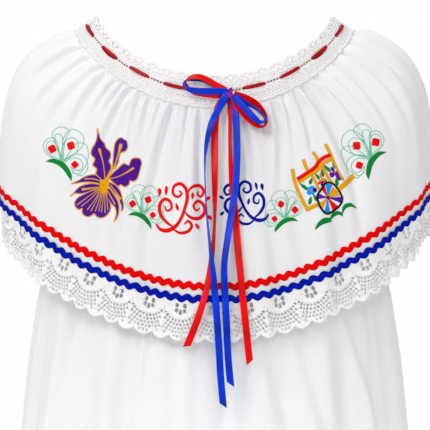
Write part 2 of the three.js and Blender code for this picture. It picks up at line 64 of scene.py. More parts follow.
# Control rows of the flounce, from the seam to its hem.
FLOUNCE = table(
    "depth width centre side sweep swell",
    (118, 188, -124, -14, 0, 0),
    (136, 266, -206, -35, 1 / 3, 0),
    (170, 300, -292, -74, 2 / 3, 0),
    (172, 290, -382, -246, 1, 1),
)
HEM_RISE = dict(broad=0.79, late=0.21)
HEM_SWELL = dict(early=0.16, late=0.24)
UPRIGHT = dict(start=50, over=40)  # degrees: trim turns from square to the hem to a straight fall
PUFF = dict(depth=3.4, by=0.1)
DEEPER = 1.9  # the creases are pressed in this many times deeper than their tables say

# Waves of cloth: count all round, depth at the seam and at the hem, phase and sway.
FLOUNCE_FOLDS = table(
    "count top hem phase sway",
    (44, 2.5, 0.3, 0.4, 0.9),
    (19, 0.8, 2.4, 1.9, 1.1),
    (7, 0.2, 1.8, 0.6, 0.5),
)
BODY_FOLDS = table(
    "count top hem phase sway",
    (18, 0.2, 4.0, 0.9, 0.8),
    (7, 0.0, 2.4, 2.2, 0.5),
)
BODY_RIPPLES = dict(count=37, depth=0.9, sway=2.0)
# Puckers of the gathering at the flounce's seam: how many all round, how deep, and how far down they reach.
PUCKERS = dict(count=49, depth=2.2, varies=0.7, ridge=0.7, sharp=1.6, reach=0.12, spread=0.05)

# Creases pressed in, at angles from centre front in degrees. lean is how far each drifts sideways
# over the whole depth, and width is its half width at the seam. start and end are shares of the depth, and
# with an end past 1 the trough is still open at the hem.
FRONT_CREASES = table(
    "angle lean start end depth width",
    (-68.0, -4.0, 0.00, 0.55, 2.6, 1.7),
    (-60.0, -4.0, 0.00, 0.80, 3.0, 1.6),
    (-52.6, -3.0, 0.00, 0.78, 3.4, 1.8),
    (-48.5, 5.5, 0.00, 0.50, 2.6, 1.3),
    (-43.0, 3.0, 0.00, 0.34, 2.4, 1.1),
    (-39.3, 1.0, 0.00, 0.25, 1.8, 0.9),
    (-35.5, 2.0, 0.00, 0.56, 3.2, 1.4),
    (-31.3, 14.0, 0.00, 0.44, 2.6, 1.2),
    (-26.8, 12.0, 0.00, 0.28, 2.0, 1.0),
    (-21.8, 3.0, 0.00, 0.30, 1.9, 1.0),
    (-16.8, -1.0, 0.00, 0.84, 3.5, 1.5),
    (-11.0, 4.0, 0.00, 0.34, 2.2, 1.0),
    (-6.0, 4.0, 0.00, 0.90, 2.4, 1.3),
    (3.0, 0.5, 0.00, 0.34, 2.2, 1.0),
    (10.7, 2.0, 0.00, 0.90, 2.8, 1.5),
    (16.5, 1.0, 0.00, 0.30, 2.0, 1.0),
    (23.2, -10.0, 0.00, 0.62, 3.2, 1.4),
    (27.6, -9.0, 0.00, 0.46, 2.7, 1.1),
    (32.8, -9.0, 0.00, 0.48, 2.6, 1.1),
    (36.4, 5.5, 0.00, 1.15, 4.2, 1.6),
    (40.4, 5.0, 0.00, 0.30, 1.9, 0.9),
    (43.8, 9.0, 0.00, 0.66, 3.2, 1.4),
    (49.8, 5.0, 0.00, 0.40, 2.4, 1.2),
    (55.3, 4.0, 0.00, 0.72, 3.2, 1.6),
    (63.0, 5.0, 0.00, 0.78, 3.0, 1.7),
    (71.0, 3.5, 0.00, 0.52, 2.4, 1.6),
    (-41.0, 2.0, 0.45, 2.00, 1.9, 2.0),
    (-12.5, -17.0, 0.48, 1.60, 1.9, 1.7),
    (-18.0, 0.5, 0.46, 2.20, 2.2, 1.7),
    (9.5, 7.5, 0.44, 1.80, 2.0, 1.7),
    (12.0, 13.6, 0.50, 1.60, 2.0, 1.6),
    (29.0, 5.0, 0.52, 2.00, 1.8, 1.9),
)
BACK_CREASES = table(
    "angle lean start end depth width",
    (110.0, 4.0, 0.00, 0.60, 2.7, 1.7),
    (118.5, 4.5, 0.00, 0.84, 3.1, 1.6),
    (127.0, 3.0, 0.00, 0.46, 2.3, 1.3),
    (135.5, 4.5, 0.00, 0.72, 2.8, 1.5),
    (142.0, 2.5, 0.00, 0.38, 2.2, 1.1),
    (150.5, 3.5, 0.00, 0.88, 3.0, 1.4),
    (158.0, 1.5, 0.00, 0.44, 2.2, 1.1),
    (166.0, 2.0, 0.00, 0.64, 2.7, 1.3),
    (173.5, 0.5, 0.00, 0.36, 2.0, 1.0),
    (181.0, -0.5, 0.00, 0.80, 2.9, 1.4),
    (188.5, -1.5, 0.00, 0.42, 2.2, 1.1),
    (197.0, -2.5, 0.00, 0.62, 2.6, 1.3),
    (204.0, -2.0, 0.00, 0.40, 2.1, 1.1),
    (212.5, -4.0, 0.00, 0.90, 3.1, 1.6),
    (221.0, -3.0, 0.00, 0.48, 2.3, 1.2),
    (229.5, -4.5, 0.00, 0.70, 2.8, 1.5),
    (240.0, -4.0, 0.00, 0.56, 2.6, 1.6),
    (249.0, -4.5, 0.00, 0.82, 2.9, 1.7),
)

# The body's plan, an ellipse at each height.
BODY = table(
    "height width depth",
    (-124, 183.5, 115.8),
    (-165, 186, 117),
    (-215, 196, 126),
    (-300, 222, 143),
    (-380, 240, 152),
    (-460, 252, 160),
    (-620, 268, 176),
)
# Broad troughs on the front of the body, in the same columns.
BODY_CREASES = table(
    "angle lean start end depth width",
    (-41.2, -14.0, 0.30, 2.0, 2.4, 2.4),
    (-19.5, -10.6, 0.30, 2.0, 2.2, 2.4),
    (-13.2, -11.0, 0.30, 1.7, 2.0, 1.1),
    (-4.0, -2.0, 0.30, 1.9, 1.8, 2.2),
    (-1.0, 27.0, 0.30, 2.0, 2.3, 2.0),
    (9.8, 28.0, 0.30, 2.0, 2.8, 2.3),
    (26.0, 38.0, 0.30, 2.0, 2.6, 2.6),
    (-62.0, -12.0, 0.30, 2.0, 2.0, 2.6),
)
BODY_TUCK = 1.0
ARMHOLE = dict(starts=48, underarm=-215, fullness=2.2)

# Trims round the hem. A braid's pitch is one wave, and pinch draws its inner edges together. Its centre line
# lies above the flounce's edge and off the cloth. The lace starts above the edge, under the blue braid.
BRAIDS = dict(waves=112, pitch=14.3, swing=1.8, half=4.0, pinch=0.7)
BRAID_ABOVE = dict(red=22.7, blue=6.4)
BRAID_OFF = dict(red=1.0, blue=2.4)
HEM_LACE = dict(repeats=38, lap=-6.2, depth=50)
BORDER = dict(lobes=2, scallop=6.4, full=0.45, inset=0.4, picots=12, picot=0.3)


# ---------------------------------------------------------------- the blouse's surfaces
def ease(x):
    """Smooth step: 3x^2 - 2x^3 between 0 and 1, level outside."""
    x = np.clip(x, 0, 1)
    return x * x * (3 - 2 * x)


def unit(v):
    """Vectors brought to length 1."""
    return v / np.maximum(np.linalg.norm(v, axis=-1, keepdims=True), 1e-12)


def scoop(angle):
    """The neckline's rise from centre front, 0, to the shoulder, 1."""
    return 1 - np.abs(np.cos(angle)) ** NECK_DIP


def hem_rise(angle):
    """The hem's rise from centre front, 0, to the shoulder, 1: shares of sin^2 and of sin^8."""
    return HEM_RISE["broad"] * np.sin(angle) ** 2 + HEM_RISE["late"] * np.sin(angle) ** 8


def oval(width, depth, centre, side, angle, rise):
    """An oval ring that climbs from centre front and back to the shoulders."""
    return np.stack([width * np.sin(angle), -depth * np.cos(angle), centre + (side - centre) * rise], axis=-1)


def hem_swell(angle):
    """How far the hem bows up between centre front and shoulder, where it is 0."""
    square = np.sin(angle) ** 2
    return (HEM_SWELL["early"] * square + HEM_SWELL["late"] * square**2) * (1 - square)


def flounce_row(row, angle):
    """A control row's ring: it climbs as the neckline does at the seam, and as the hem does at the hem."""
    sweep = row["sweep"]
    rise = scoop(angle) * (1 - sweep) + hem_rise(angle) * sweep + hem_swell(angle) * row["swell"]
    return oval(row["width"], row["depth"], row["centre"], row["side"], angle, rise)


RING_ANGLES = np.linspace(0, TAU, 1441)
HEM_STEPS = np.linalg.norm(np.diff(flounce_row(FLOUNCE[3], RING_ANGLES), axis=0), axis=1)
HEM_LENGTHS = np.concatenate([[0], np.cumsum(HEM_STEPS)])
HEM_LENGTH = HEM_LENGTHS[-1]


def angle_at(turn):
    """The angle from centre front at a share of the way round, counted along the hem."""
    whole = np.floor(turn)
    return TAU * whole + np.interp((turn - whole) * HEM_LENGTH, HEM_LENGTHS, RING_ANGLES)


def fold_depth(folds, turn, share):
    """Sum of uneven waves round the blouse; each one's depth runs from its seam value to its hem value."""
    around = TAU * turn
    fade = (1 - share) ** 2
    depth = 0
    for fold in folds:
        count, phase = fold["count"], fold["phase"]
        wander = fold["sway"] * (np.sin(3 * around + phase) + 0.6 * np.sin(5 * around + 2 * phase))
        uneven = 1 + 0.3 * np.sin(4 * around + count) + 0.2 * np.sin(9 * around + phase)
        size = fold["top"] * fade + fold["hem"] * (1 - fade)
        depth = depth + size * uneven * np.cos(count * around + phase + wander)
    return depth


def crease_depth(creases, angle, share):
    """Troughs that drift as they fall and die out, steep on the left, where a low ridge runs beside them."""
    degrees = np.degrees(angle)
    depth = 0
    for crease in creases:
        away = (degrees - crease["angle"] - crease["lean"] * share + 180) % 360 - 180
        away = away / (crease["width"] * (0.88 + 0.85 * share))
        away = np.where(away < 0, 1.6 * away, away)
        grown = ease((share - crease["start"]) / (0.05 + 0.5 * crease["start"]))
        length = grown * (1 - ease((share / crease["end"] - 0.35) / 0.65))
        depth = depth - crease["depth"] * length * (np.exp(-away**2) - 0.45 * np.exp(-((away + 2.1) ** 2)))
    return depth


def surface_normal(surface, turn, down, step=1e-4):
    """The way that a surface faces, from small steps round it and down it."""
    across = surface(turn + step, down) - surface(turn - step, down)
    along = surface(turn, down + step) - surface(turn, down - step)
    return unit(np.cross(along, across))


def plain_flounce(turn, share):
    """A cubic curve down four control rows."""
    angle = angle_at(turn)
    share = np.asarray(share, float)[..., None]
    rest = 1 - share
    weights = (rest**3, 3 * share * rest**2, 3 * share**2 * rest, share**3)
    return sum(weight * flounce_row(row, angle) for weight, row in zip(weights, FLOUNCE))


def flounce(turn, share):
    """The plain flounce, puffed out of its seam, with its waves, creases and the puckers of the gathering."""
    turn, share = np.broadcast_arrays(np.asarray(turn, float), np.asarray(share, float))
    grown = ease(share / PUFF["by"])
    angle = angle_at(turn)
    lift = PUFF["depth"] * grown + grown * fold_depth(FLOUNCE_FOLDS, turn, share)
    for creases in (FRONT_CREASES, BACK_CREASES):
        lift = lift + DEEPER * crease_depth(creases, angle, share)
    wander = 1.3 * np.sin(17 * TAU * turn) + 0.9 * np.sin(41 * TAU * turn + 1)
    reach = PUCKERS["reach"] + PUCKERS["spread"] * np.sin(29 * TAU * turn + 2)
    pucker = ease(share / 0.02) * (1 - ease(share / reach))
    pinch = (1 - np.abs(np.cos(PUCKERS["count"] * TAU * turn + wander))) ** PUCKERS["sharp"]
    deep = PUCKERS["depth"] + PUCKERS["varies"] * np.sin(23 * TAU * turn)
    lift = lift + pucker * (PUCKERS["ridge"] - deep * pinch)
    return plain_flounce(turn, share) + surface_normal(plain_flounce, turn, share) * lift[..., None]


def on_flounce(turn, share, off):
    """A point this far out from the folded flounce."""
    return flounce(turn, share) + surface_normal(flounce, turn, share) * np.asarray(off)[..., None]


# Millimetres of the cubic for each share of the depth, at its end: three times its last control step.
LAST_STEP = flounce_row(FLOUNCE[3], RING_ANGLES) - flounce_row(FLOUNCE[2], RING_ANGLES)
FLOUNCE_SPEED = 3 * np.linalg.norm(LAST_STEP, axis=1)


def hem_share(turn, down):
    """The share of the depth that lies this many millimetres below the hem."""
    angle = angle_at(turn) % TAU
    return 1 + down / np.interp(angle, RING_ANGLES, FLOUNCE_SPEED)


def hem_slant(turn):
    """How far the cloth's fall strays along the hem, for each millimetre square to the hem."""
    angle = angle_at(turn)
    fall = unit(flounce_row(FLOUNCE[3], angle) - flounce_row(FLOUNCE[2], angle))
    along = unit(flounce_row(FLOUNCE[3], angle + 1e-4) - flounce_row(FLOUNCE[3], angle - 1e-4))
    lean = np.sum(fall * along, axis=-1)
    degrees = np.degrees(np.arcsin(np.abs(np.sin(angle))))
    return lean / np.sqrt(1 - lean**2) * (1 - ease((degrees - UPRIGHT["start"]) / UPRIGHT["over"]))


def below_hem(turn, down, off=0.0):
    """Square to the hem: above it the flounce itself, and below it a straight fall that keeps its folds."""
    turn, down, off = np.broadcast_arrays(*(np.asarray(v, float) for v in (turn, down, off)))
    slant = hem_slant(turn)
    turn, down = turn - down * slant / HEM_LENGTH, down * np.hypot(1, slant)
    above = on_flounce(turn, hem_share(turn, np.minimum(down, 0)), off)
    angle = angle_at(turn)
    fall = unit(flounce_row(FLOUNCE[3], angle) - flounce_row(FLOUNCE[2], angle))
    return above + fall * np.maximum(down, 0)[..., None]


def neck_ring(sizes, angle):
    """The neckline's seam or its edge."""
    return oval(*(sizes[k] for k in ("width", "depth", "centre", "side")), angle, scoop(angle))


def neckband(turn, height, off=0.0):
    """The neckband, straight from its seam, height 0, to the tops of its scallops, height 1."""
    turn, height, off = np.broadcast_arrays(*(np.asarray(v, float) for v in (turn, height, off)))
    angle = angle_at(turn)
    seam, edge = neck_ring(NECK_SEAM, angle), neck_ring(NECK_EDGE, angle)
    ahead = neck_ring(NECK_SEAM, angle + 1e-3)
    out = unit(np.cross(seam - edge, ahead - seam))
    return seam + (edge - seam) * height[..., None] + out * off[..., None]


BAND_HEIGHT = float(np.linalg.norm(neckband(0, 1) - neckband(0, 0)))
NECK_RING = neckband(np.linspace(0, 1, 721), EYELETS["at"])
NECK_LENGTH = float(np.linalg.norm(np.diff(NECK_RING, axis=0), axis=1).sum())


def body_top(angle):
    """Just above the seam at front and back, falling in a curve to the underarm at each side."""
    from_centre = np.degrees(np.arcsin(np.minimum(1, np.abs(np.sin(angle)))))
    seam = NECK_SEAM["centre"] + (NECK_SEAM["side"] - NECK_SEAM["centre"]) * scoop(angle) + BODY_TUCK
    corner_rise = scoop(math.radians(ARMHOLE["starts"]))
    corner = NECK_SEAM["centre"] + (NECK_SEAM["side"] - NECK_SEAM["centre"]) * corner_rise + BODY_TUCK
    part = np.clip((from_centre - ARMHOLE["starts"]) / (90 - ARMHOLE["starts"]), 0, 1)
    dropped = corner + (ARMHOLE["underarm"] - corner) * (1 - (1 - part) ** ARMHOLE["fullness"])
    return np.where(from_centre <= ARMHOLE["starts"], seam, dropped)


def body(turn, share):
    """An oval at each height between the top edge and the hem, with folds that grow on the way down."""
    turn, share = np.broadcast_arrays(np.asarray(turn, float), np.asarray(share, float))
    angle = angle_at(turn)
    heights = BODY["height"][::-1]
    height = body_top(angle) * (1 - share) + heights[0] * share
    width = np.interp(height, heights, BODY["width"][::-1])
    depth = np.interp(height, heights, BODY["depth"][::-1])
    point = np.stack([width * np.sin(angle), -depth * np.cos(angle), height], axis=-1)
    down = np.clip((NECK_SEAM["centre"] - height) / (NECK_SEAM["centre"] - heights[0]), 0, 1)
    waves = ease(down / 0.12) * fold_depth(BODY_FOLDS, turn, down)
    sway = BODY_RIPPLES["sway"] * np.sin(5 * TAU * turn + 0.7)
    ripples = ease(down / 0.3) * BODY_RIPPLES["depth"] * np.cos(BODY_RIPPLES["count"] * TAU * turn + sway)
    hem_width, hem_depth = BODY["width"][-1], BODY["depth"][-1]
    out = unit(np.stack([point[..., 0] / hem_width**2, point[..., 1] / hem_depth**2, 0 * height], axis=-1))
    troughs = DEEPER * crease_depth(BODY_CREASES, angle, down)
    return point + out * (waves + ripples + troughs)[..., None]


# ---------------------------------------------------------------- meshes
def sheet_faces(columns, rows):
    """Quads of a grid of corners, column by column, facing out when columns run right and rows run down."""
    corner = np.arange(columns * rows).reshape(columns, rows)
    quads = np.stack([corner[:-1, :-1], corner[:-1, 1:], corner[1:, 1:], corner[1:, :-1]], axis=-1)
    return quads.reshape(-1, 4)


def ring_faces(columns, rows):
    """Quads of a grid whose last column joins its first."""
    corner = np.arange(columns * rows).reshape(columns, rows)
    after = np.roll(corner, -1, axis=0)
    quads = np.stack([corner[:, :-1], corner[:, 1:], after[:, 1:], after[:, :-1]], axis=-1)
    return quads.reshape(-1, 4)


def new_piece(name, points, faces, material, uv=None, wall=0.0, slot=None, stands_for=None):
    """A mesh from points in millimetres. wall gives it a thickness, centred on the points."""
    mesh = bpy.data.meshes.new(name)
    points = np.asarray(points, float).reshape(-1, 3)
    faces = np.asarray(faces)
    mesh.vertices.add(len(points))
    mesh.vertices.foreach_set("co", (points * MM).ravel())
    mesh.loops.add(faces.size)
    mesh.loops.foreach_set("vertex_index", faces.ravel())
    mesh.polygons.add(len(faces))
    mesh.polygons.foreach_set("loop_start", np.arange(0, faces.size, faces.shape[1]))
    mesh.polygons.foreach_set("use_smooth", np.ones(len(faces), bool))
    if uv is not None:
        layer = mesh.uv_layers.new(name="mm")
        layer.data.foreach_set("uv", np.asarray(uv, float).reshape(-1, 2)[faces.ravel()].ravel())
    mesh.update(calc_edges=True)
    mesh.materials.append(material)
    piece = bpy.data.objects.new(name, mesh)
    bpy.context.scene.collection.objects.link(piece)
    if wall:
        cloth = piece.modifiers.new("wall", "SOLIDIFY")
        cloth.thickness = wall * MM
        cloth.offset = 0
    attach(piece, "root")
    if stands_for:
        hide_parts(stands_for)
    return piece


def grid_piece(name, shape, across, down, material, uv_size=None, **more):
    """A grid of points shape(across, down). Its UV map counts millimetres, uv_size wide and deep."""
    u, v = np.meshgrid(across, down, indexing="ij")
    points = shape(u, v)
    if uv_size is None:
        wide = np.linalg.norm(np.diff(points[:, -1], axis=0), axis=1).sum()
        deep = np.linalg.norm(np.diff(points[len(across) // 2], axis=0), axis=1).sum()
        uv_size = (wide, deep)
    part_u = (u - u.min()) / (u.max() - u.min())
    part_v = (v.max() - v) / (v.max() - v.min())
    uv = np.stack([part_u * uv_size[0], part_v * uv_size[1]], axis=-1)
    return new_piece(name, points, sheet_faces(len(across), len(down)), material, uv, **more)


# ---------------------------------------------------------------- materials
def srgb(code):
    """A hex colour as linear red, green and blue."""
    parts = np.array([int(code[i : i + 2], 16) / 255 for i in (0, 2, 4)])
    linear = np.where(parts <= 0.04045, parts / 12.92, ((parts + 0.055) / 1.055) ** 2.4)
    return (*linear, 1.0)


def add(tree, kind, inputs=None, **settings):
    """Adds a node with its settings, its input values and its links."""
    made = tree.nodes.new(kind)
    for name, value in settings.items():
        setattr(made, name, value)
    for name, value in (inputs or {}).items():
        socket = made.inputs[name]
        if isinstance(value, bpy.types.NodeSocket):
            tree.links.new(value, socket)
        else:
            socket.default_value = value
    return made


def new_material(name, colour, **shader):
    """A Principled material. Returns the material, its node tree and its shader."""
    material = bpy.data.materials.new(name)
    material.use_nodes = True
    tree = material.node_tree
    principled = tree.nodes["Principled BSDF"]
    principled.inputs["Base Color"].default_value = srgb(colour)
    for socket, value in shader.items():
        principled.inputs[socket.replace("_", " ")].default_value = value
    material.diffuse_color = srgb(colour)
    return material, tree, principled


def mottle(tree, principled, vector, colour, other, scale, detail=3.0):
    """Varies the base colour softly between two colours. scale counts patches in a millimetre. For the cloth,
    lace, braids and threads the two are near, a tone that differs at random; for the satin they are far
    apart, a painted highlight and painted shade.
    """
    noise = add(tree, "ShaderNodeTexNoise", {"Vector": vector, "Scale": scale, "Detail": detail})
    mixed = add(tree, "ShaderNodeMix", {"Factor": noise.outputs["Fac"]}, data_type="RGBA")
    mixed.inputs[6].default_value = srgb(colour)
    mixed.inputs[7].default_value = srgb(other)
    tree.links.new(mixed.outputs[2], principled.inputs["Base Color"])


def let_light_through(principled, share):
    """Thin white cotton scatters light inside, and lets this share of it through from behind."""
    principled.inputs["Subsurface Weight"].default_value = 0.7
    principled.inputs["Subsurface Radius"].default_value = (1.0, 1.0, 1.0)
    principled.inputs["Subsurface Scale"].default_value = 0.003
    principled.inputs["Transmission Weight"].default_value = share


def white_cotton():
    """Plain-woven polyester cotton, bleached: matt, faintly slubbed, a soft bloom at grazing light."""
    material, tree, principled = new_material(
        "polycotton_plain_weave", "f2f2f5",
        Roughness=0.82, Specular_IOR_Level=0.3, Sheen_Weight=0.12, Sheen_Roughness=0.5,
    )
    let_light_through(principled, 0.1)
    uv = add(tree, "ShaderNodeUVMap", uv_map="mm").outputs["UV"]
    # Threads are 0.35 mm apart, too fine to show, so they are drawn 0.8 mm apart.
    bands = {"Vector": uv, "Scale": 0.4, "Distortion": 1.5}
    warp = add(tree, "ShaderNodeTexWave", bands, bands_direction="X").outputs["Fac"]
    weft = add(tree, "ShaderNodeTexWave", bands, bands_direction="Y").outputs["Fac"]
    weave = add(tree, "ShaderNodeMath", {0: warp, 1: weft}, operation="ADD").outputs[0]
    slub = add(tree, "ShaderNodeTexNoise", {"Vector": uv, "Scale": 0.06, "Detail": 5.0}).outputs["Fac"]
    height = add(tree, "ShaderNodeMath", {0: slub, 1: 3.0, 2: weave}, operation="MULTIPLY_ADD")
    bump = add(tree, "ShaderNodeBump", {"Height": height.outputs[0], "Strength": 0.35, "Distance": 0.00025})
    tree.links.new(bump.outputs["Normal"], principled.inputs["Normal"])
    mottle(tree, principled, uv, "f0f0f4", "f6f6f8", 0.02)
    return material


def lace_cotton(name, colour, other):
    """Crochet-style cotton lace, machine made: thick matt thread in dense short stitches."""
    material, tree, principled = new_material(
        name, colour, Roughness=0.9, Specular_IOR_Level=0.25, Sheen_Weight=0.1
    )
    let_light_through(principled, 0.06)
    uv = add(tree, "ShaderNodeUVMap", uv_map="mm").outputs["UV"]
    # Stitches of 0.6 mm thread.
    stitch = add(tree, "ShaderNodeTexVoronoi", {"Vector": uv, "Scale": 1.1, "Randomness": 0.8})
    hollow = {"Height": stitch.outputs["Distance"], "Strength": 0.6, "Distance": 0.0004}
    bump = add(tree, "ShaderNodeBump", hollow, invert=True)
    tree.links.new(bump.outputs["Normal"], principled.inputs["Normal"])
    mottle(tree, principled, uv, colour, other, 0.35)
    return material


def ricrac_braid(name, colour, other):
    """Woven polyester ric-rac: slanting yarns 0.9 mm apart, with the low shine of filament."""
    material, tree, principled = new_material(name, colour, Roughness=0.7, Specular_IOR_Level=0.04)
    uv = add(tree, "ShaderNodeUVMap", uv_map="mm").outputs["UV"]
    turned = add(tree, "ShaderNodeMapping", {"Vector": uv, "Rotation": (0, 0, math.radians(38))})
    yarn = add(tree, "ShaderNodeTexWave", {"Vector": turned.outputs[0], "Scale": 0.35, "Distortion": 0.6})
    bump = add(tree, "ShaderNodeBump", {"Height": yarn.outputs["Fac"], "Strength": 0.5, "Distance": 0.0004})
    tree.links.new(bump.outputs["Normal"], principled.inputs["Normal"])
    mottle(tree, principled, uv, colour, other, 0.5)
    return material


def satin_ribbon(name, colour, other):
    """Polyester satin ribbon: long floats along the ribbon give a bright, streaked sheen. Its colour runs in
    broad patches from colour, a painted highlight, to the much darker other, painted shade.
    """
    material, tree, principled = new_material(
        name, colour, Roughness=0.3, Specular_IOR_Level=0.12, Anisotropic=0.5
    )
    uv = add(tree, "ShaderNodeUVMap", uv_map="mm").outputs["UV"]
    long = add(tree, "ShaderNodeMapping", {"Vector": uv, "Scale": (1.0, 0.05, 1.0)})
    floats = add(tree, "ShaderNodeTexNoise", {"Vector": long.outputs[0], "Scale": 1.6, "Detail": 4.0})
    raised = {"Height": floats.outputs["Fac"], "Strength": 0.25, "Distance": 0.0003}
    bump = add(tree, "ShaderNodeBump", raised)
    tree.links.new(bump.outputs["Normal"], principled.inputs["Normal"])
    # Painted sheen and painted shade: broad patches from the bright colour to the much darker other.
    mottle(tree, principled, uv, colour, other, 0.03, 1.0)
    return material


COTTON = white_cotton()
HEM_LACE_THREAD = lace_cotton("cotton_lace_thread", "f7f6f6", "f0eeee")
NECK_LACE_THREAD = lace_cotton("cotton_beading_lace", "ebe8e8", "dedada")
BRAID_RED = ricrac_braid("ricrac_scarlet", "e80002", "cc0002")
BRAID_BLUE = ricrac_braid("ricrac_navy_blue", "0018a4", "001088")
# The two colours of each satin are a painted highlight and painted shade of one dye.
SATIN_RED = satin_ribbon("satin_scarlet", "ff0408", "980000")
# The neck ribbon is the bow's red satin in darker colours: painted shade on it at the neckline.
SATIN_NECK_PAINTED_SHADE = satin_ribbon("satin_scarlet_neck_painted_shade", "b80004", "7c0002")
SATIN_BLUE = satin_ribbon("satin_royal_blue", "0042ee", "00045c")


# ---------------------------------------------------------------- body and flounce
HALVES = {"front": -0.25, "back": 0.25}
SIDE_GAP = 0.00018  # share of the way round left open at each side seam
# Columns and rows of the flounce's cloth: close in front, where the creases are.
CLOTH_GRID = {"front": (426, 108), "back": (210, 80)}


def half_turns(start, columns):
    """Even steps along one half, clear of the side seams."""
    return np.linspace(start + SIDE_GAP, start + 0.5 - SIDE_GAP, columns + 1)


def dress_cloth():
    """The four panels. The gathers make each panel's cut wider than the space it fills."""
    for half, start in HALVES.items():
        columns, rows = CLOTH_GRID[half]
        shares = np.linspace(0, 1, rows + 1) ** 1.15  # closer rows at the seam, for the puckers
        panel = grid_piece(
            f"flounce_{half}_cloth", flounce, half_turns(start, columns), shares, COTTON,
            wall=WALLS["cloth"], slot="white_cloth", stands_for=f"flounce_{half}",
        )
        shares = np.linspace(0, 1, rows // 2 + 1)
        lower = grid_piece(
            f"body_{half}_cloth", body, half_turns(start, columns * 2 // 3), shares, COTTON,
            wall=WALLS["cloth"], slot="white_cloth", stands_for=f"body_{half}",
        )


# ---------------------------------------------------------------- pierced lace
def loop_of(x, y, wide, tall, slant=0.0, corners=10, square=2.4):
    """A rounded hole: a superellipse of these half sizes, leaning by slant degrees."""
    angle = np.linspace(0, TAU, corners, endpoint=False)
    cx = wide * np.sign(np.cos(angle)) * np.abs(np.cos(angle)) ** (2 / square)
    cy = tall * np.sign(np.sin(angle)) * np.abs(np.sin(angle)) ** (2 / square)
    c, s = math.cos(math.radians(slant)), math.sin(math.radians(slant))
    return np.stack([x + cx * c - cy * s, y + cx * s + cy * c], axis=-1)


def inside(points, ring):
    """Which points lie in a closed ring, by counting the edges to their right."""
    x, y = points[:, :1], points[:, 1:]
    (ax, ay), (bx, by) = ring.T, np.roll(ring, -1, axis=0).T
    straddles = (ay > y) != (by > y)
    crossing = ax + (y - ay) * (bx - ax) / np.where(by == ay, 1e-9, by - ay)
    return (straddles & (x < crossing)).sum(axis=1) % 2 == 1


def near(points, rings, gap):
    """Which points come closer than gap to a corner of any ring."""
    corners = np.concatenate(rings)
    return (((points[:, None] - corners[None]) ** 2).sum(-1) < gap * gap).any(axis=1)


def pierced_tile(outline, holes, spacing):
    """Triangles that fill an outline round its holes, with a triangular net of points in between."""
    low, high = outline.min(axis=0), outline.max(axis=0)
    row_gap, edge_gap = spacing * 0.87, spacing * 0.62  # rows of even triangles; net to the nearest edge
    xs, ys = np.arange(low[0], high[0], spacing), np.arange(low[1], high[1], row_gap)
    xs, ys = np.meshgrid(xs, ys, indexing="ij")
    net = np.stack([(xs + (np.arange(xs.shape[1]) % 2) * spacing / 2).ravel(), ys.ravel()], axis=-1)
    rings = [outline, *holes]
    keep = inside(net, outline) & ~near(net, rings, edge_gap)
    for hole in holes:
        keep &= ~inside(net, hole)
    edges, first = [], 0
    for ring in rings:
        corner = np.arange(len(ring)) + first
        edges.append(np.stack([corner, np.roll(corner, -1)], axis=-1))
        first += len(ring)
    corners = np.concatenate([*rings, net[keep]])
    found = delaunay_2d_cdt([Vector(c) for c in corners], np.concatenate(edges).tolist(), [], 0, 1e-5)
    points = np.array([tuple(v) for v in found[0]])
    faces = np.array([f for f in found[2]])
    centres = points[faces].mean(axis=1)
    solid = inside(centres, outline)
    for hole in holes:
        solid &= ~inside(centres, hole)
    faces = faces[solid]
    a, b, c = (points[faces[:, i]] for i in range(3))
    turned = (b[:, 0] - a[:, 0]) * (c[:, 1] - a[:, 1]) - (b[:, 1] - a[:, 1]) * (c[:, 0] - a[:, 0]) > 0
    faces[turned] = faces[turned][:, ::-1]
    return points, faces


def repeat_tile(points, faces, times, width):
    """Copies of a tile side by side, with the corners on their shared edges joined."""
    shifts = np.arange(times)[:, None, None] * np.array([width, 0.0])
    every = (points[None] + shifts).reshape(-1, 2)
    faces = (faces[None] + np.arange(times)[:, None, None] * len(points)).reshape(-1, 3)
    keys = np.round(every * 500).astype(np.int64)
    _, kept, joined = np.unique(keys, axis=0, return_index=True, return_inverse=True)
    return every[kept], joined.ravel()[faces]


# The flower of each half moon: five gaps.
FLOWER = table(
    "x y wide tall slant",
    (-4.9, 3.9, 2.3, 3.1, 3),
    (4.9, 3.9, 2.3, 3.1, -3),
    (-5.1, 10.6, 2.2, 2.7, 8),
    (5.1, 10.6, 2.2, 2.7, -8),
    (0, 12.4, 2.1, 3.4, 0),
)
# The solid half moon of each repeat: the radius of its arc, how far below the flounce's edge the arc is
# centred, and the half width that it keeps to. Round it run rings of holes, out to the border.
MOON = dict(radius=20.6, centre=0.6, half=20.5)
NET = dict(rings=9, to_side=12, first=2.7, row=4.9, pitch=4.25, border=4.6, margin=1.8, wide=1.45, tall=1.95)
# How far parts of the hem lace stand out, as dense stitching does: the half moon, its rim, the border below a
# depth, and the top, which lies on the flounce's edge for some way.
RELIEF = dict(moon=0.2, rim=0.4, border=0.3, border_from=44.5, top=1.5, top_for=9.0)


def moon_edge(x, width):
    """How far below the lace's top the half moon ends, an arc from one side of the repeat to the other."""
    from_middle = np.minimum(np.abs(x - width / 2), MOON["half"])
    return MOON["centre"] + np.sqrt(MOON["radius"] ** 2 - from_middle**2)


def net_holes(width):
    """Rings of holes round the half moon, staggered, out to the border."""
    holes = []
    for k in range(NET["rings"]):
        radius = MOON["radius"] + NET["first"] + NET["row"] * k
        step = NET["pitch"] / radius
        for j in range(-NET["to_side"], NET["to_side"] + 1):
            angle = (j + 0.5 * (k % 2)) * step
            x, y = width / 2 + radius * math.sin(angle), MOON["centre"] + radius * math.cos(angle)
            at_side = not NET["margin"] < x < width - NET["margin"]
            if at_side or y > border_edge(x, width) - NET["border"]:
                continue
            uneven = 1 + 0.12 * math.sin(2.7 * j + 1.9 * k)
            holes.append(loop_of(x, y, NET["wide"] * uneven, NET["tall"] * uneven, -math.degrees(angle), 8))
    return holes


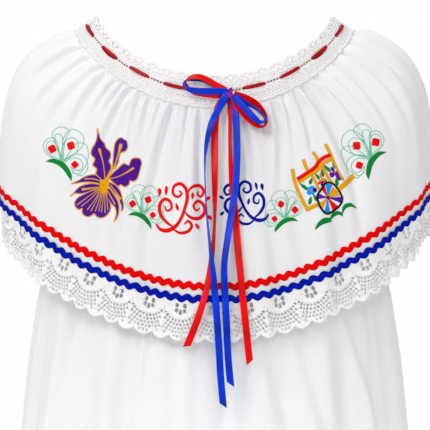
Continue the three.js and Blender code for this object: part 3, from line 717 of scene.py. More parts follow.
def border_edge(x, width):
    """The lace's lower edge: two full lobes to each repeat, with narrow valleys between, and a fine picot."""
    lobe = (0.5 + 0.5 * np.cos(BORDER["lobes"] * TAU * x / width)) ** BORDER["full"]
    picot = BORDER["picot"] * np.cos(TAU * BORDER["picots"] * x / width)
    return HEM_LACE["depth"] - BORDER["inset"] - BORDER["scallop"] * (1 - lobe) + picot


def dress_hem_lace():
    """Half moons with a flower in each, rings of holes round them, and a solid scalloped border."""
    width = HEM_LENGTH / HEM_LACE["repeats"]
    x = np.linspace(0, width, 73)
    bottom = np.stack([x, border_edge(x, width)], axis=-1)
    start, end = HEM_LACE["lap"], bottom[0, 1]
    side = np.linspace(start, end, 19)[1:-1]
    right = np.stack([np.full_like(side, width), side[::-1]], axis=-1)
    left = np.stack([np.zeros_like(side), side], axis=-1)
    top = np.stack([np.linspace(width, 0, 15), np.full(15, start)], axis=-1)
    outline = np.concatenate([bottom, right, top, left])
    flower = [loop_of(width / 2 + r["x"], r["y"], r["wide"], r["tall"], r["slant"], 12, 3.0) for r in FLOWER]
    holes = flower + net_holes(width)
    for half, begin in HALVES.items():
        points, faces = pierced_tile(outline, holes, 2.0 if half == "front" else 2.8)
        times = HEM_LACE["repeats"] // 2
        flat, faces = repeat_tile(points, faces, times, width)
        turn = begin + SIDE_GAP + flat[:, 0] / (times * width) * (0.5 - 2 * SIDE_GAP)
        across = (flat[:, 0] / width) % 1
        into_moon = moon_edge(across * width, width) - flat[:, 1]
        rim = RELIEF["rim"] * np.exp(-((into_moon - 1.0) ** 2) / 1.5)
        border = RELIEF["border"] * (flat[:, 1] > RELIEF["border_from"])
        relief = RELIEF["moon"] * (into_moon > 0) + rim + border
        relief += RELIEF["top"] * (1 - ease((flat[:, 1] + 1.0) / RELIEF["top_for"]))
        ripple = 1.1 * ease(flat[:, 1] / 30) * np.cos(TAU * across * 2 + 0.6)
        solid = below_hem(turn, flat[:, 1], relief + ripple)
        piece = new_piece(
            f"hem_lace_{half}_thread", solid, faces, HEM_LACE_THREAD, flat,
            wall=WALLS["lace"], slot="lace", stands_for=f"hem_lace_{half}",
        )


# ---------------------------------------------------------------- neckband
# The gathered foot below the seam, which lies on the flounce this far out.
NECK_FOOT = dict(low=0.9, drop=1.4, frill=2.6, pitch=13.1, off=1.3)
SEAM_SPEED = 256  # millimetres of the flounce for each share of its depth, near the seam
# Rows of small holes: height as a share of the band, millimetres from one to the next, and half height.
NECK_HOLES = table(
    "height pace size",
    (0.7, 4.2, 0.75),
    (0.62, 5.6, 0.6),
    (0.06, 3.9, 0.6),
    (0.15, 3.5, 0.65),
    (0.24, 4.3, 0.6),
    (0.32, 5.1, 0.5),
)
# Holes of each scallop on top, from its middle.
SCALLOP_HOLES = table(
    "at rise wide high slant",
    (-6.0, 0.83, 1.5, 1.7, 30),
    (0, 0.885, 2.1, 1.5, 0),
    (6.0, 0.83, 1.5, 1.7, -30),
    (-3.4, 0.775, 1.2, 1.2, 0),
    (3.4, 0.775, 1.2, 1.2, 0),
)


def scallop_edge(x, pitch):
    """Heights of the neckband's top, in shares: a round scallop to each pitch, with a tiny picot wave."""
    part = (x / pitch) % 1
    arch = np.abs(np.sin(math.pi * part)) ** 0.5
    return 0.9 + 0.1 * arch + 0.006 * np.cos(TAU * 5 * part)


def dress_neckband():
    """Beading lace: eyelets for the ribbon, holes along each bar, rows of small ones, pierced scallops."""
    tile_eyelets = 3
    tile_scallops = NECK_SCALLOPS * tile_eyelets // EYELETS["count"]
    width = NECK_LENGTH * tile_eyelets / EYELETS["count"]
    pitch = width / tile_scallops
    tall = BAND_HEIGHT
    x = np.linspace(0, width, tile_scallops * 12 + 1)
    top = np.stack([x, tall * scallop_edge(x, pitch)], axis=-1)[::-1]
    frill = NECK_FOOT["frill"] * np.abs(np.sin(math.pi * x / NECK_FOOT["pitch"])) ** 0.7
    foot = NECK_FOOT["low"] - NECK_FOOT["drop"] - frill * ease(x / 4) * ease((width - x) / 4)
    bottom = np.stack([x, foot], axis=-1)
    y0, y1 = bottom[0, 1], top[-1, 1]
    side = np.linspace(y0, y1, 17)[1:-1]
    right = np.stack([np.full_like(side, width), side], axis=-1)
    left = np.stack([np.zeros_like(side), side[::-1]], axis=-1)
    outline = np.concatenate([bottom, right, top, left])
    line = tall * EYELETS["at"]
    holes = []
    for k in range(tile_eyelets):
        middle = (k + 0.5) * width / tile_eyelets
        part = np.linspace(0, TAU, 28, endpoint=False)
        rise = EYELETS["height"] / 2 * np.sin(part) * np.abs(np.sin(part)) ** 0.25
        holes.append(np.stack([middle + EYELETS["length"] / 2 * np.cos(part), line + rise], axis=-1))
    bar = width / tile_eyelets - EYELETS["length"]
    for k in range(tile_eyelets + 1):
        for step in (-6.9, -2.4, 2.4, 6.9):
            at = k * width / tile_eyelets + step * bar / 20
            if 1.5 < at < width - 1.5:
                holes.append(loop_of(at, line + 0.5 * math.sin(2.6 * at), 1.8, 1.25, 8, 8))
    for row, (height, pace, size) in enumerate(NECK_HOLES):
        count = int(width / pace)
        for k in range(count):
            at = (k + 0.5 + 0.18 * math.sin(3.1 * k + row)) * width / count
            holes.append(loop_of(at, tall * (height + 0.012 * math.sin(2.3 * k)), size * 1.2, size, 0, 7))
    for k in range(tile_scallops):
        middle = (k + 0.5) * pitch
        for at, rise, wide, high, slant in SCALLOP_HOLES:
            holes.append(loop_of(middle + at, tall * rise, wide, high, slant, 9))
    points, faces = pierced_tile(outline, holes, 2.1)
    faces = faces[:, ::-1]
    for half, begin in HALVES.items():
        flat, laced = repeat_tile(points, faces, EYELETS["count"] // 2 // tile_eyelets, width)
        total = NECK_LENGTH / 2
        turn = begin + SIDE_GAP + flat[:, 0] / total * (0.5 - 2 * SIDE_GAP)
        height = flat[:, 1] / tall
        from_eyelets = np.abs(height - EYELETS["at"])
        rib = 0.35 * (from_eyelets < 0.2) * (from_eyelets > 0.13)
        solid = neckband(turn, np.maximum(height, 0), rib)
        # Below the seam the edge lies on the gathers.
        below = np.maximum(-flat[:, 1], 0)
        over = on_flounce(turn, below / SEAM_SPEED, NECK_FOOT["off"])
        solid = np.where((height < 0)[:, None], over, solid)
        rise = ease((4 - flat[:, 1]) / 4)[:, None]
        solid = np.where((height >= 0)[:, None], solid + rise * (over - neckband(turn, 0)), solid)
        piece = new_piece(
            f"neckband_{half}_thread", solid, laced, NECK_LACE_THREAD, flat,
            wall=WALLS["lace"], slot="lace", stands_for=f"neckband_lace_{half}",
        )


# ---------------------------------------------------------------- braid
def dress_braids():
    """Ric-rac: a braid carried along a sine line, with full tips and pinched valleys, and ridged cords."""
    for half, begin in HALVES.items():
        for colour, material in (("red", BRAID_RED), ("blue", BRAID_BLUE)):
            waves = BRAIDS["waves"] // 2
            along = np.linspace(0, 1, waves * 12 + 1)
            across = np.linspace(-1, 1, 7)
            u, v = np.meshgrid(along, across, indexing="ij")
            swing = BRAIDS["swing"]
            slope = -swing * TAU / BRAIDS["pitch"] * np.sin(TAU * waves * u)
            line = swing * np.cos(TAU * waves * u)
            lean = BRAIDS["half"] * v
            shift = -BRAIDS["pinch"] * lean * slope / np.sqrt(1 + slope**2)
            down = line + lean / np.sqrt(1 + slope**2) - BRAID_ABOVE[colour]
            dome = 0.55 * (1 - v**4) + 0.12 * np.cos(3 * math.pi * v)
            turn = begin + SIDE_GAP + (u + shift / (HEM_LENGTH / 2)) * (0.5 - 2 * SIDE_GAP)
            points = below_hem(turn, down, BRAID_OFF[colour] + dome)
            uv = np.stack([u * HEM_LENGTH / 2, v * BRAIDS["half"]], axis=-1)
            new_piece(
                f"ricrac_{colour}_{half}_braid", points, sheet_faces(len(along), len(across)), material, uv,
                wall=WALLS["braid"], slot=f"{colour}_braid", stands_for=f"ricrac_{colour}_{half}",
            )


# ---------------------------------------------------------------- ribbons
# The neck ribbon's way: behind the lace, out over an eyelet and arched there, and its half widths.
NECK_RIBBON = dict(behind=-1.2, out=2.6, arch=0.8, half=1.7, open=1.0, spread=0.8, columns=28)


def dress_neck_ribbon():
    """The ribbon weaves out over each eyelet and back behind each bar, pinched narrow where it dives."""
    count = EYELETS["count"]
    turn = np.linspace(0, 1, count * NECK_RIBBON["columns"] + 1)
    from_eyelet = (turn * count + 0.5) % 1 - 0.5
    away = np.abs(from_eyelet) / count * NECK_LENGTH
    out = ease((EYELETS["length"] / 2 + 1.0 - away) / 6.0)
    arch = NECK_RIBBON["arch"] * out * np.cos(from_eyelet * math.pi)
    lift = NECK_RIBBON["behind"] + out * NECK_RIBBON["out"] + arch
    open_over, spread_behind = ease((17.5 - away) / 9.5), ease((away - 20) / 4)
    half = NECK_RIBBON["half"] + NECK_RIBBON["open"] * open_over + NECK_RIBBON["spread"] * spread_behind
    across = np.linspace(-1, 1, 5)
    heights = EYELETS["at"] - half[:, None] * across[None] / BAND_HEIGHT
    heights += 0.012 * np.sin(TAU * turn * 7 + 1)[:, None]
    lifts = lift[:, None] + 0.5 * (1 - across**2)[None] * out[:, None]
    points = neckband(np.repeat(turn[:, None], 5, 1), heights, lifts)
    uv = (across[None] * RIBBON_WIDTH / 2, (turn * NECK_LENGTH)[:, None])
    uv = np.stack(np.broadcast_arrays(*uv), axis=-1)
    new_piece(
        "neck_ribbon_satin", points[:-1], ring_faces(len(turn) - 1, 5), SATIN_NECK_PAINTED_SHADE, uv[:-1],
        wall=WALLS["ribbon"], slot="red_satin", stands_for="neck_ribbon",
    )


# Each loop is two ribbons laid together. On the left the red one lies in front on top and shows below the
# blue one's lower run. On the right the blue one is the smaller, inside the red.
LOOPS = {
    "bow_loop_left_red": table(
        "x y z face",
        (15.2, -121.2, -102.8, 22),
        (2.8, -122.6, -96.3, 26),
        (-8.3, -122.4, -89.8, 28),
        (-18.3, -121.8, -85.2, 34),
        (-26.7, -121.8, -84.8, 46),
        (-33.6, -123.6, -87.4, 66),
        (-37.2, -127.0, -92.4, 84),
        (-34.8, -129.4, -99.0, 66),
        (-27.5, -129.6, -104.4, 36),
        (-15.7, -128.6, -107.2, 20),
        (-2.6, -127.2, -108.6, 14),
        (13.1, -124.6, -108.8, 12),
    ),
    "bow_loop_left_blue": table(
        "x y z face",
        (15.2, -119.0, -103.2, 24),
        (2.8, -119.6, -96.8, 28),
        (-8.3, -119.4, -91.0, 32),
        (-18.3, -119.0, -87.6, 38),
        (-27.0, -119.2, -88.0, 48),
        (-35.6, -121.6, -89.6, 66),
        (-39.6, -126.6, -94.6, 80),
        (-36.4, -130.8, -100.4, 60),
        (-28.0, -132.2, -103.2, 34),
        (-18.3, -132.2, -104.2, 18),
        (-6.6, -131.2, -104.4, 14),
        (6.4, -129.4, -104.2, 12),
        (15.6, -127.4, -104.6, 12),
    ),
    "bow_loop_right_red": table(
        "x y z face",
        (25.6, -120.4, -107.6, 12),
        (39.6, -122.2, -111.9, 20),
        (53.3, -124.6, -119.3, 32),
        (62.5, -127.6, -129.4, 46),
        (67.1, -131.0, -139.5, 62),
        (66.0, -135.8, -148.6, 72),
        (59.4, -137.8, -150.8, 58),
        (48.7, -137.0, -144.4, 34),
        (35.2, -133.4, -130.4, 20),
        (27.4, -129.0, -119.0, 14),
        (24.4, -124.6, -110.6, 10),
    ),
    "bow_loop_right_blue": table(
        "x y z face",
        (26.4, -122.8, -109.8, 36),
        (39.6, -124.8, -118.2, 58),
        (55.0, -128.2, -127.2, 70),
        (64.6, -131.8, -137.0, 76),
        (65.6, -134.8, -141.6, 82),
        (58.6, -140.2, -144.4, 48),
        (48.7, -141.0, -136.6, 16),
        (36.7, -138.4, -123.2, 8),
        (25.9, -130.6, -112.0, 8),
    ),
}
TAILS = {
    "bow_tail_blue_long": table(
        "x y z face",
        (14.6, -125.6, -112.8, 6),
        (7, -131, -124, 8),
        (3, -133.6, -132.4, 11),
        (-2, -136.4, -142, 16),
        (-8.6, -141.5, -164, 44),
        (-12, -147.5, -190, 74),
        (-12.4, -152.6, -208, 81),
        (-12, -157.5, -226, 83),
        (-9.6, -167.5, -268, 78),
        (-5.6, -176.5, -306, 68),
        (-1.6, -182.5, -342, 36),
        (1.6, -185.5, -380, 10),
        (4.6, -186.5, -420, 4),
        (6.2, -186.9, -445, 4),
        (7.6, -187, -470, 4),
        (11.2, -187, -511, 4),
    ),
    "bow_tail_red_left": table(
        "x y z face",
        (12.2, -120.4, -112.8, 8),
        (4.8, -124.6, -124, 10),
        (2.8, -127, -132.6, 10),
        (1.4, -129.5, -142, 10),
        (0.2, -136.5, -166, 12),
        (0.1, -140.4, -181, 13),
        (0.3, -144.5, -196, 18),
        (0.6, -154, -232, 40),
        (0.5, -158.3, -252, 56),
        (0.2, -162.5, -272, 66),
        (-0.8, -166.6, -291, 62),
        (-2.4, -170.5, -310, 50),
        (-6.4, -177.5, -342, 38),
        (-14, -183.5, -376, 28),
        (-24, -185, -406, 14),
        (-35.6, -185.5, -435, 4),
    ),
    "bow_tail_blue_right": table(
        "x y z face",
        (23.6, -122.4, -111.8, 10),
        (26.4, -129, -126, 14),
        (27.5, -133.2, -136, 12),
        (28.2, -137.5, -146, 10),
        (29.2, -144.6, -170, 8),
        (29.2, -151, -192, 6),
        (27.8, -158.5, -222, 8),
        (25.7, -162.6, -240, 9),
        (23, -166.5, -258, 10),
        (17, -174, -296, 24),
        (12.6, -180, -330, 30),
        (13.2, -183, -362, 12),
        (14.2, -183.6, -383, 7),
        (15.2, -184, -404, 4),
        (17.4, -184.4, -448, 4),
        (20.6, -184.6, -484, 4),
    ),
    "bow_tail_red_right": table(
        "x y z face",
        (19.5, -119.2, -112.8, 30),
        (20.6, -123.6, -124, 46),
        (20.6, -126.6, -131, 56),
        (20.6, -129.5, -138, 60),
        (20.4, -134.5, -156, 62),
        (20.4, -138.4, -171, 62),
        (20.8, -142.5, -186, 58),
        (21.5, -146.5, -203, 50),
        (22.4, -150.5, -220, 40),
        (24.1, -154.8, -238, 28),
        (26, -159, -256, 18),
        (29.6, -168, -300, 8),
        (33.6, -175.5, -344, 6),
        (38, -179, -388, 4),
        (42, -180, -426, 4),
        (45.4, -180.4, -456, 4),
    ),
}


def spline(knots, steps, closed=False):
    """A centripetal Catmull-Rom curve through knots of any number of columns."""
    knots = np.asarray(knots, float)
    if closed:
        knots = np.concatenate([knots[-1:], knots, knots[:2]])
    else:
        knots = np.concatenate([2 * knots[:1] - knots[1:2], knots, 2 * knots[-1:] - knots[-2:-1]])
    at = np.linspace(0, len(knots) - 3, steps + 1)
    k = np.minimum(at.astype(int), len(knots) - 4)
    t = (at - k)[:, None]
    p0, p1, p2, p3 = (knots[k + i] for i in range(4))
    spans = ((p0, p1), (p1, p2), (p2, p3))
    d0, d1, d2 = (np.maximum(np.linalg.norm(b - a, axis=1), 1e-6)[:, None] ** 0.5 for a, b in spans)
    m1 = ((p1 - p0) / d0 - (p2 - p0) / (d0 + d1) + (p2 - p1) / d1) * d1
    m2 = ((p2 - p1) / d1 - (p3 - p1) / (d1 + d2) + (p3 - p2) / d2) * d1
    ends = p1 * (2 * t**3 - 3 * t**2 + 1) + p2 * (3 * t**2 - 2 * t**3)
    return ends + m1 * (t**3 - 2 * t**2 + t) + m2 * (t**3 - t**2)


def curve_through(rows, steps):
    """The line that the solids follow too, and how far the ribbon's face is turned at each point of it."""
    at = np.linspace(0, len(rows) - 1, steps + 1)
    knots = np.stack([rows["x"], rows["y"], rows["z"]], axis=-1)
    return spline(knots, steps), np.interp(at, np.arange(len(rows)), rows["face"])


def ribbon_along(name, line, face, material, slot, cut=0.0, cup=0.35, wide=RIBBON_WIDTH):
    """A strip across a line: its width turns from the plane of the front, face 0, into the depth, face 90.

    cup bends it across, and cut draws one corner of its far end on and the other back.
    """
    ahead = unit(np.gradient(line, axis=0))
    front = np.array([0.0, -1.0, 0.0])
    flat = unit(np.cross(front, ahead))
    angle = np.radians(face)[:, None]
    width = flat * np.cos(angle) + front * np.sin(angle)
    width = unit(width - ahead * (width * ahead).sum(-1, keepdims=True))
    normal = unit(np.cross(ahead, width))
    across = np.linspace(-1, 1, 7)
    half = wide / 2
    far = np.linspace(0, 1, len(line)) ** 24
    points = line[:, None] + width[:, None] * (across * half)[None, :, None]
    points = points + normal[:, None] * (cup * (across**2 - 0.4))[None, :, None]
    points = points + ahead[:, None] * (far[:, None] * across[None] * cut)[..., None]
    length = np.concatenate([[0], np.cumsum(np.linalg.norm(np.diff(line, axis=0), axis=1))])
    uv = np.stack(np.broadcast_arrays(across[None] * half, length[:, None]), axis=-1)
    faces = sheet_faces(len(line), len(across))[:, ::-1]
    return new_piece(name, points, faces, material, uv, wall=WALLS["ribbon"], slot=slot)


SATIN = {"red": SATIN_RED, "blue": SATIN_BLUE}
# Each tail's length in metres, and how far its end is cut on the slant.
TAIL_ENDS = {
    "bow_tail_blue_long": (0.414, 3.5),
    "bow_tail_red_left": (0.344, -2.5),
    "bow_tail_blue_right": (0.384, 3.6),
    "bow_tail_red_right": (0.352, -3.2),
}


def dress_bow():
    """Two loops of doubled ribbon and four tails."""
    for name, rows in LOOPS.items():
        colour = name.split("_")[-1]
        line, face = curve_through(rows, 120)
        loop = ribbon_along(f"{name}_satin", line, face, SATIN[colour], f"{colour}_satin")
        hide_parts(name)
    for name, rows in TAILS.items():
        colour = "blue" if "blue" in name else "red"
        length, cut = TAIL_ENDS[name]
        line, face = curve_through(rows, 150)
        tail = ribbon_along(f"{name}_satin", line, face, SATIN[colour], f"{colour}_satin", cut=cut)
        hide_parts(name)


KNOT = dict(x=18.6, y=-122.0, z=-107.4, wide=5.6, deep=7.4, tall=5.4)
# Short runs of ribbon over the knot: its tight turn, a folded tip above, and the head of the long blue tail.
# Each row gives colour, width, and the knots of its line with the ribbon's face.
KNOT_TURNS = (
    ("red", 4.6, (
        (12.6, -128.0, -107.2, 10), (17.4, -130.4, -108.8, 6), (22.4, -129.8, -111.8, 8),
        (25.2, -126.8, -114.6, 14),
    )),
    ("blue", 4.4, ((17.0, -127.6, -104.6, 10), (20.0, -129.8, -102.6, 16), (23.4, -128.6, -100.6, 34))),
    ("red", 3.4, ((18.8, -129.4, -105.8, 10), (21.6, -130.2, -104.4, 14), (23.8, -129.2, -101.8, 40))),
    ("blue", 8.6, (
        (18.6, -127.6, -103.8, 12), (15.2, -130.4, -107.4, 8), (12.2, -131.2, -113.6, 8),
        (6.6, -129.8, -125.0, 8),
    )),
    ("blue", 5.0, (
        (19.4, -129.8, -106.0, 8), (22.4, -130.6, -109.4, 8), (25.4, -129.6, -113.6, 10),
        (27.4, -127.6, -118.6, 14),
    )),
)


def dress_knot():
    """A tight turn of ribbon round the middle: a round form with folds down it, and the runs over it."""
    columns, rows, pole = 40, 25, 0.02
    around = np.linspace(0, TAU, columns, endpoint=False)
    around, over = np.meshgrid(around, np.linspace(pole, math.pi - pole, rows), indexing="ij")
    bulge = 1 - 0.06 * np.cos(3 * around + 1.4 * over) - 0.05 * np.cos(7 * over)
    x = KNOT["x"] + KNOT["wide"] * bulge * np.sin(over) * np.sin(around)
    y = KNOT["y"] - KNOT["deep"] * bulge * np.sin(over) * np.cos(around)
    z = KNOT["z"] + KNOT["tall"] * bulge * np.cos(over)
    points = np.stack([x, y, z], axis=-1)
    uv = np.stack([around * 6, over * 6], axis=-1)
    new_piece(
        "bow_knot_satin", points, ring_faces(columns, rows), SATIN_BLUE, uv,
        slot="blue_satin", stands_for="bow_knot",
    )
    for k, (colour, wide, rows) in enumerate(KNOT_TURNS):
        line, face = curve_through(table("x y z face", *rows), 24)
        ribbon_along(f"bow_knot_turn_{k}_{colour}", line, face, SATIN[colour], f"{colour}_satin", wide=wide)


# ---------------------------------------------------------------- embroidery
# Motifs are drawn in millimetres on an upright plane across the bust, x to the right and z up from the height
# of EYE. They are laid on the cloth along the lines from EYE, so each keeps its drawn outline over the folds.
EYE = dict(x=0.6, y=-3150.0, z=-266.2)
DRAWING_PLANE = -150.0
DRAWING = dict(left=-240, right=240, low=-60, high=130, step=2.0)
# How far stitches lie off the cloth, how far they dome up, and how far a vein clears the petal under it.
THREAD = dict(base=0.42, rise=0.5, over=0.35)


def drawn_place(point):
    """Where a point of the blouse falls on the drawing plane."""
    reach = (DRAWING_PLANE - EYE["y"]) / (point[..., 1] - EYE["y"])
    return np.stack([(point[..., 0] - EYE["x"]) * reach, (point[..., 2] - EYE["z"]) * reach], axis=-1)


def drawing_lattice():
    """Turn and share of the flounce under each knot of a lattice on the drawing plane, by Newton's steps.

    The first steps meet the plain flounce, and the last ones the folded one.
    """
    xs = np.arange(DRAWING["left"], DRAWING["right"] + 1, DRAWING["step"])
    zs = np.arange(DRAWING["low"], DRAWING["high"] + 1, DRAWING["step"])
    wanted = np.stack(np.meshgrid(xs, zs, indexing="ij"), axis=-1)
    turn = np.clip(wanted[..., 0] / 1450, -0.2, 0.2)
    share = np.full_like(turn, 0.5)
    step = 1e-4
    for surface in 11 * [plain_flounce] + 5 * [flounce]:
        missed = wanted - drawn_place(surface(turn, share))
        here = drawn_place(plain_flounce(turn, share))
        by_turn = (drawn_place(plain_flounce(turn + step, share)) - here) / step
        by_share = (drawn_place(plain_flounce(turn, share + step)) - here) / step
        scale = by_turn[..., 0] * by_share[..., 1] - by_turn[..., 1] * by_share[..., 0]
        scale = np.where(np.abs(scale) < 1e3, 1e3, scale)
        d_turn = (missed[..., 0] * by_share[..., 1] - missed[..., 1] * by_share[..., 0]) / scale
        d_share = (by_turn[..., 0] * missed[..., 1] - by_turn[..., 1] * missed[..., 0]) / scale
        turn = np.clip(turn + np.clip(d_turn, -0.03, 0.03), -0.24, 0.24)
        share = np.clip(share + np.clip(d_share, -0.15, 0.15), 0.01, 1.0)
    return turn, share


UNDER_TURN, UNDER_SHARE = drawing_lattice()


def lay_on_cloth(flat, off):
    """Points drawn on the plane, moved to the flounce and this far out of it."""
    at = (flat - [DRAWING["left"], DRAWING["low"]]) / DRAWING["step"]
    i = np.clip(at[..., 0].astype(int), 0, UNDER_TURN.shape[0] - 2)
    j = np.clip(at[..., 1].astype(int), 0, UNDER_TURN.shape[1] - 2)
    a, b = at[..., 0] - i, at[..., 1] - j
    turn, share = (
        (k[i, j] * (1 - a) + k[i + 1, j] * a) * (1 - b) + (k[i, j + 1] * (1 - a) + k[i + 1, j + 1] * a) * b
        for k in (UNDER_TURN, UNDER_SHARE)
    )
    return on_flounce(turn, share, off)


def rayon_thread(name, colour, other):
    """Machine embroidery in glossy rayon: stitches side by side, 0.45 mm apart, that glint along the fill."""
    material, tree, principled = new_material(
        name, colour, Roughness=0.4, Specular_IOR_Level=0.08, Anisotropic=0.4
    )
    uv = add(tree, "ShaderNodeUVMap", uv_map="mm").outputs["UV"]
    bands = {"Vector": uv, "Scale": 0.7, "Distortion": 0.8}
    rows = add(tree, "ShaderNodeTexWave", bands, bands_direction="X")
    bump = add(tree, "ShaderNodeBump", {"Height": rows.outputs["Fac"], "Strength": 0.6, "Distance": 0.0003})
    tree.links.new(bump.outputs["Normal"], principled.inputs["Normal"])
    mottle(tree, principled, uv, colour, other, 0.22)
    return material


THREADS = {
    "purple": rayon_thread("rayon_deep_violet", "541092", "3c0878"),
    "gold": rayon_thread("rayon_old_gold", "eeaa00", "cc8c00"),
    "green": rayon_thread("rayon_leaf_green", "009038", "006c28"),
    "sage": rayon_thread("rayon_pale_green_hair", "5cbc90", "7ccaa4"),
    "red": rayon_thread("rayon_scarlet", "f00206", "d20004"),
    "navy": rayon_thread("rayon_navy", "06109c", "040a80"),
    "sky": rayon_thread("rayon_sky_blue", "109cf4", "0a84de"),
    "violet": rayon_thread("rayon_violet", "5c14ac", "4a0892"),
    "orange": rayon_thread("rayon_orange", "f88820", "ea7010"),
    "black": rayon_thread("rayon_black", "080808", "101010"),
}
STITCHED = {thread: [] for thread in THREADS}


def fill(thread, rails, edge=None):
    """Satin stitch between two rails: rows of x, z on the one and x, z on the other. edge outlines it."""
    rails = np.array(rails, float)
    curve = spline(rails, 10 * len(rails))
    one, two = curve[:, None, :2], curve[:, None, 2:]
    half = np.linalg.norm(two - one, axis=-1) / 2
    across = np.linspace(-1, 1, max(5, 2 * int(half.max() / 1.7) + 1))
    flat = one + (two - one) * (across[None, :, None] + 1) / 2
    rise = THREAD["rise"] * np.clip(half / 2, 0.3, 1) * (1 - across**4)
    parts = [(thread, flat, THREAD["base"] + rise)]
    if edge:
        outline = np.concatenate([curve[:, :2], curve[::-1, 2:]])
        outline = outline[np.concatenate([[True], np.linalg.norm(np.diff(outline, axis=0), axis=1) > 0.15])]
        parts += line(edge, 1.5, outline[::2], plain=True)
    return parts


def line(thread, width, path, closed=False, over=0.0, plain=False):
    """A stitched line along a path of x, z. A third column gives its width at each knot."""
    path = np.array(path, float)
    if path.shape[1] == 2:
        path = np.column_stack([path, np.full(len(path), float(width))])
    steps = len(path) - 1 if plain else 10 * len(path)
    curve = path if plain else spline(path, steps, closed)
    along = np.gradient(curve[:, :2], axis=0)
    if closed:
        along[[0, -1]] = curve[1, :2] - curve[-2, :2]
    side = unit(np.stack([-along[:, 1], along[:, 0]], axis=-1))
    across = np.linspace(1, -1, 3 if width < 2 else 5)
    flat = curve[:, None, :2] + side[:, None] * (across[None, :, None] * curve[:, None, 2:] / 2)
    rise = min(THREAD["rise"], 0.3 * width) * (1 - across**2)[None] * np.ones((len(curve), 1))
    return [(thread, flat, THREAD["base"] + 0.1 + over + rise)]


def stitch(motif, x, z, lean=0.0, size=(1.0, 1.0)):
    """Places a motif: sized, leant by degrees and moved. A negative size mirrors it."""
    c, s = math.cos(math.radians(lean)), math.sin(math.radians(lean))
    for part in motif:
        for thread, flat, off in part:
            sized = flat * np.array(size)
            right, up = sized[..., 0], sized[..., 1]
            moved = np.stack([x + right * c - up * s, z + right * s + up * c], axis=-1)
            if size[0] * size[1] < 0:
                moved, off = moved[:, ::-1], off[:, ::-1]
            STITCHED[thread].append((moved, off))


def berry(x, z, lean=12.0, half=4.9):
    """A small square block of satin stitch with soft corners."""
    c, s = math.cos(math.radians(lean)), math.sin(math.radians(lean))
    rows = []
    for up, wide in ((-1.0, 0.62), (-0.82, 0.9), (-0.3, 1.0), (0.3, 1.0), (0.82, 0.9), (1.0, 0.62)):
        row = []
        for side in (-1, 1):
            a, b = side * wide * half, up * half
            row += [x + a * c - b * s, z + a * s + b * c]
        rows.append(row)
    return fill("red", rows)


def wobbly(path, width=0.95):
    """A single run of pale green thread whose short stitches leave it slightly uneven."""
    curve = spline(path, 6 * len(path))
    k = np.arange(len(curve))
    curve = curve + 0.22 * np.stack([np.sin(2.1 * k), np.cos(1.7 * k)], axis=-1)
    return line("sage", width, curve, plain=True)


# Sprig of coffee: round sprays of thin thread, three berries and one curved leaf, from the foot of the spray.
SPRIG_LOOPS = (
    ((-1, 1), (-8, 3), (-17, 7), (-24, 14), (-25, 23), (-19, 30), (-11, 30), (-7, 22), (-4, 10), (-2, 1)),
    ((-2, 2), (-7, 5), (-15, 8), (-21, 15), (-21, 23), (-16, 27), (-10, 24), (-7, 15), (-4, 6)),
    ((-1, 1), (-4, 12), (-10, 25), (-14, 35), (-9, 43), (0, 45), (8, 40), (4, 31), (0, 20), (-2, 8), (-1, 1)),
    ((-3, 3), (-6, 14), (-10, 26), (-10, 35), (-3, 35), (0, 26), (-1, 12), (-1, 2)),
    ((0, 1), (-1, 14), (0, 28), (5, 38), (12, 42), (21, 39), (27, 31), (26, 22), (20, 14), (10, 7), (0, 1)),
    ((1, 2), (1, 14), (3, 26), (9, 31), (16, 30), (20, 23), (18, 13), (11, 7), (3, 2)),
    ((2, 2), (10, 14), (20, 24), (30, 22), (33, 12), (32, 2), (28, -8), (20, -16), (12, -14)),
    ((1, 0), (8, 7), (17, 10), (26, 8), (32, -1), (31, -12), (23, -18), (14, -14), (10, -7)),
    ((2, -1), (8, 3), (15, 5), (22, 3), (26, -4), (23, -11), (16, -11), (11, -7)),
)
LEAF = (
    (-22.3, 0.6, -22.4, 0.0), (-14.5, 3.8, -13.5, -1.6), (-4.1, 2.4, -6.2, -5.0), (3.1, -2.6, 0.0, -10.2),
    (8.8, -10.8, 5.2, -17.4), (11.6, -18.6, 8.8, -22.6), (10.9, -24.9, 10.6, -25.4),
)
SPRIG = [wobbly(loop) for loop in SPRIG_LOOPS] + [fill("green", LEAF)]
SPRIG += [berry(-14.0, 16.6, 30), berry(10.4, 20.7, 20), berry(15.5, -3.9, 40, 4.2)]

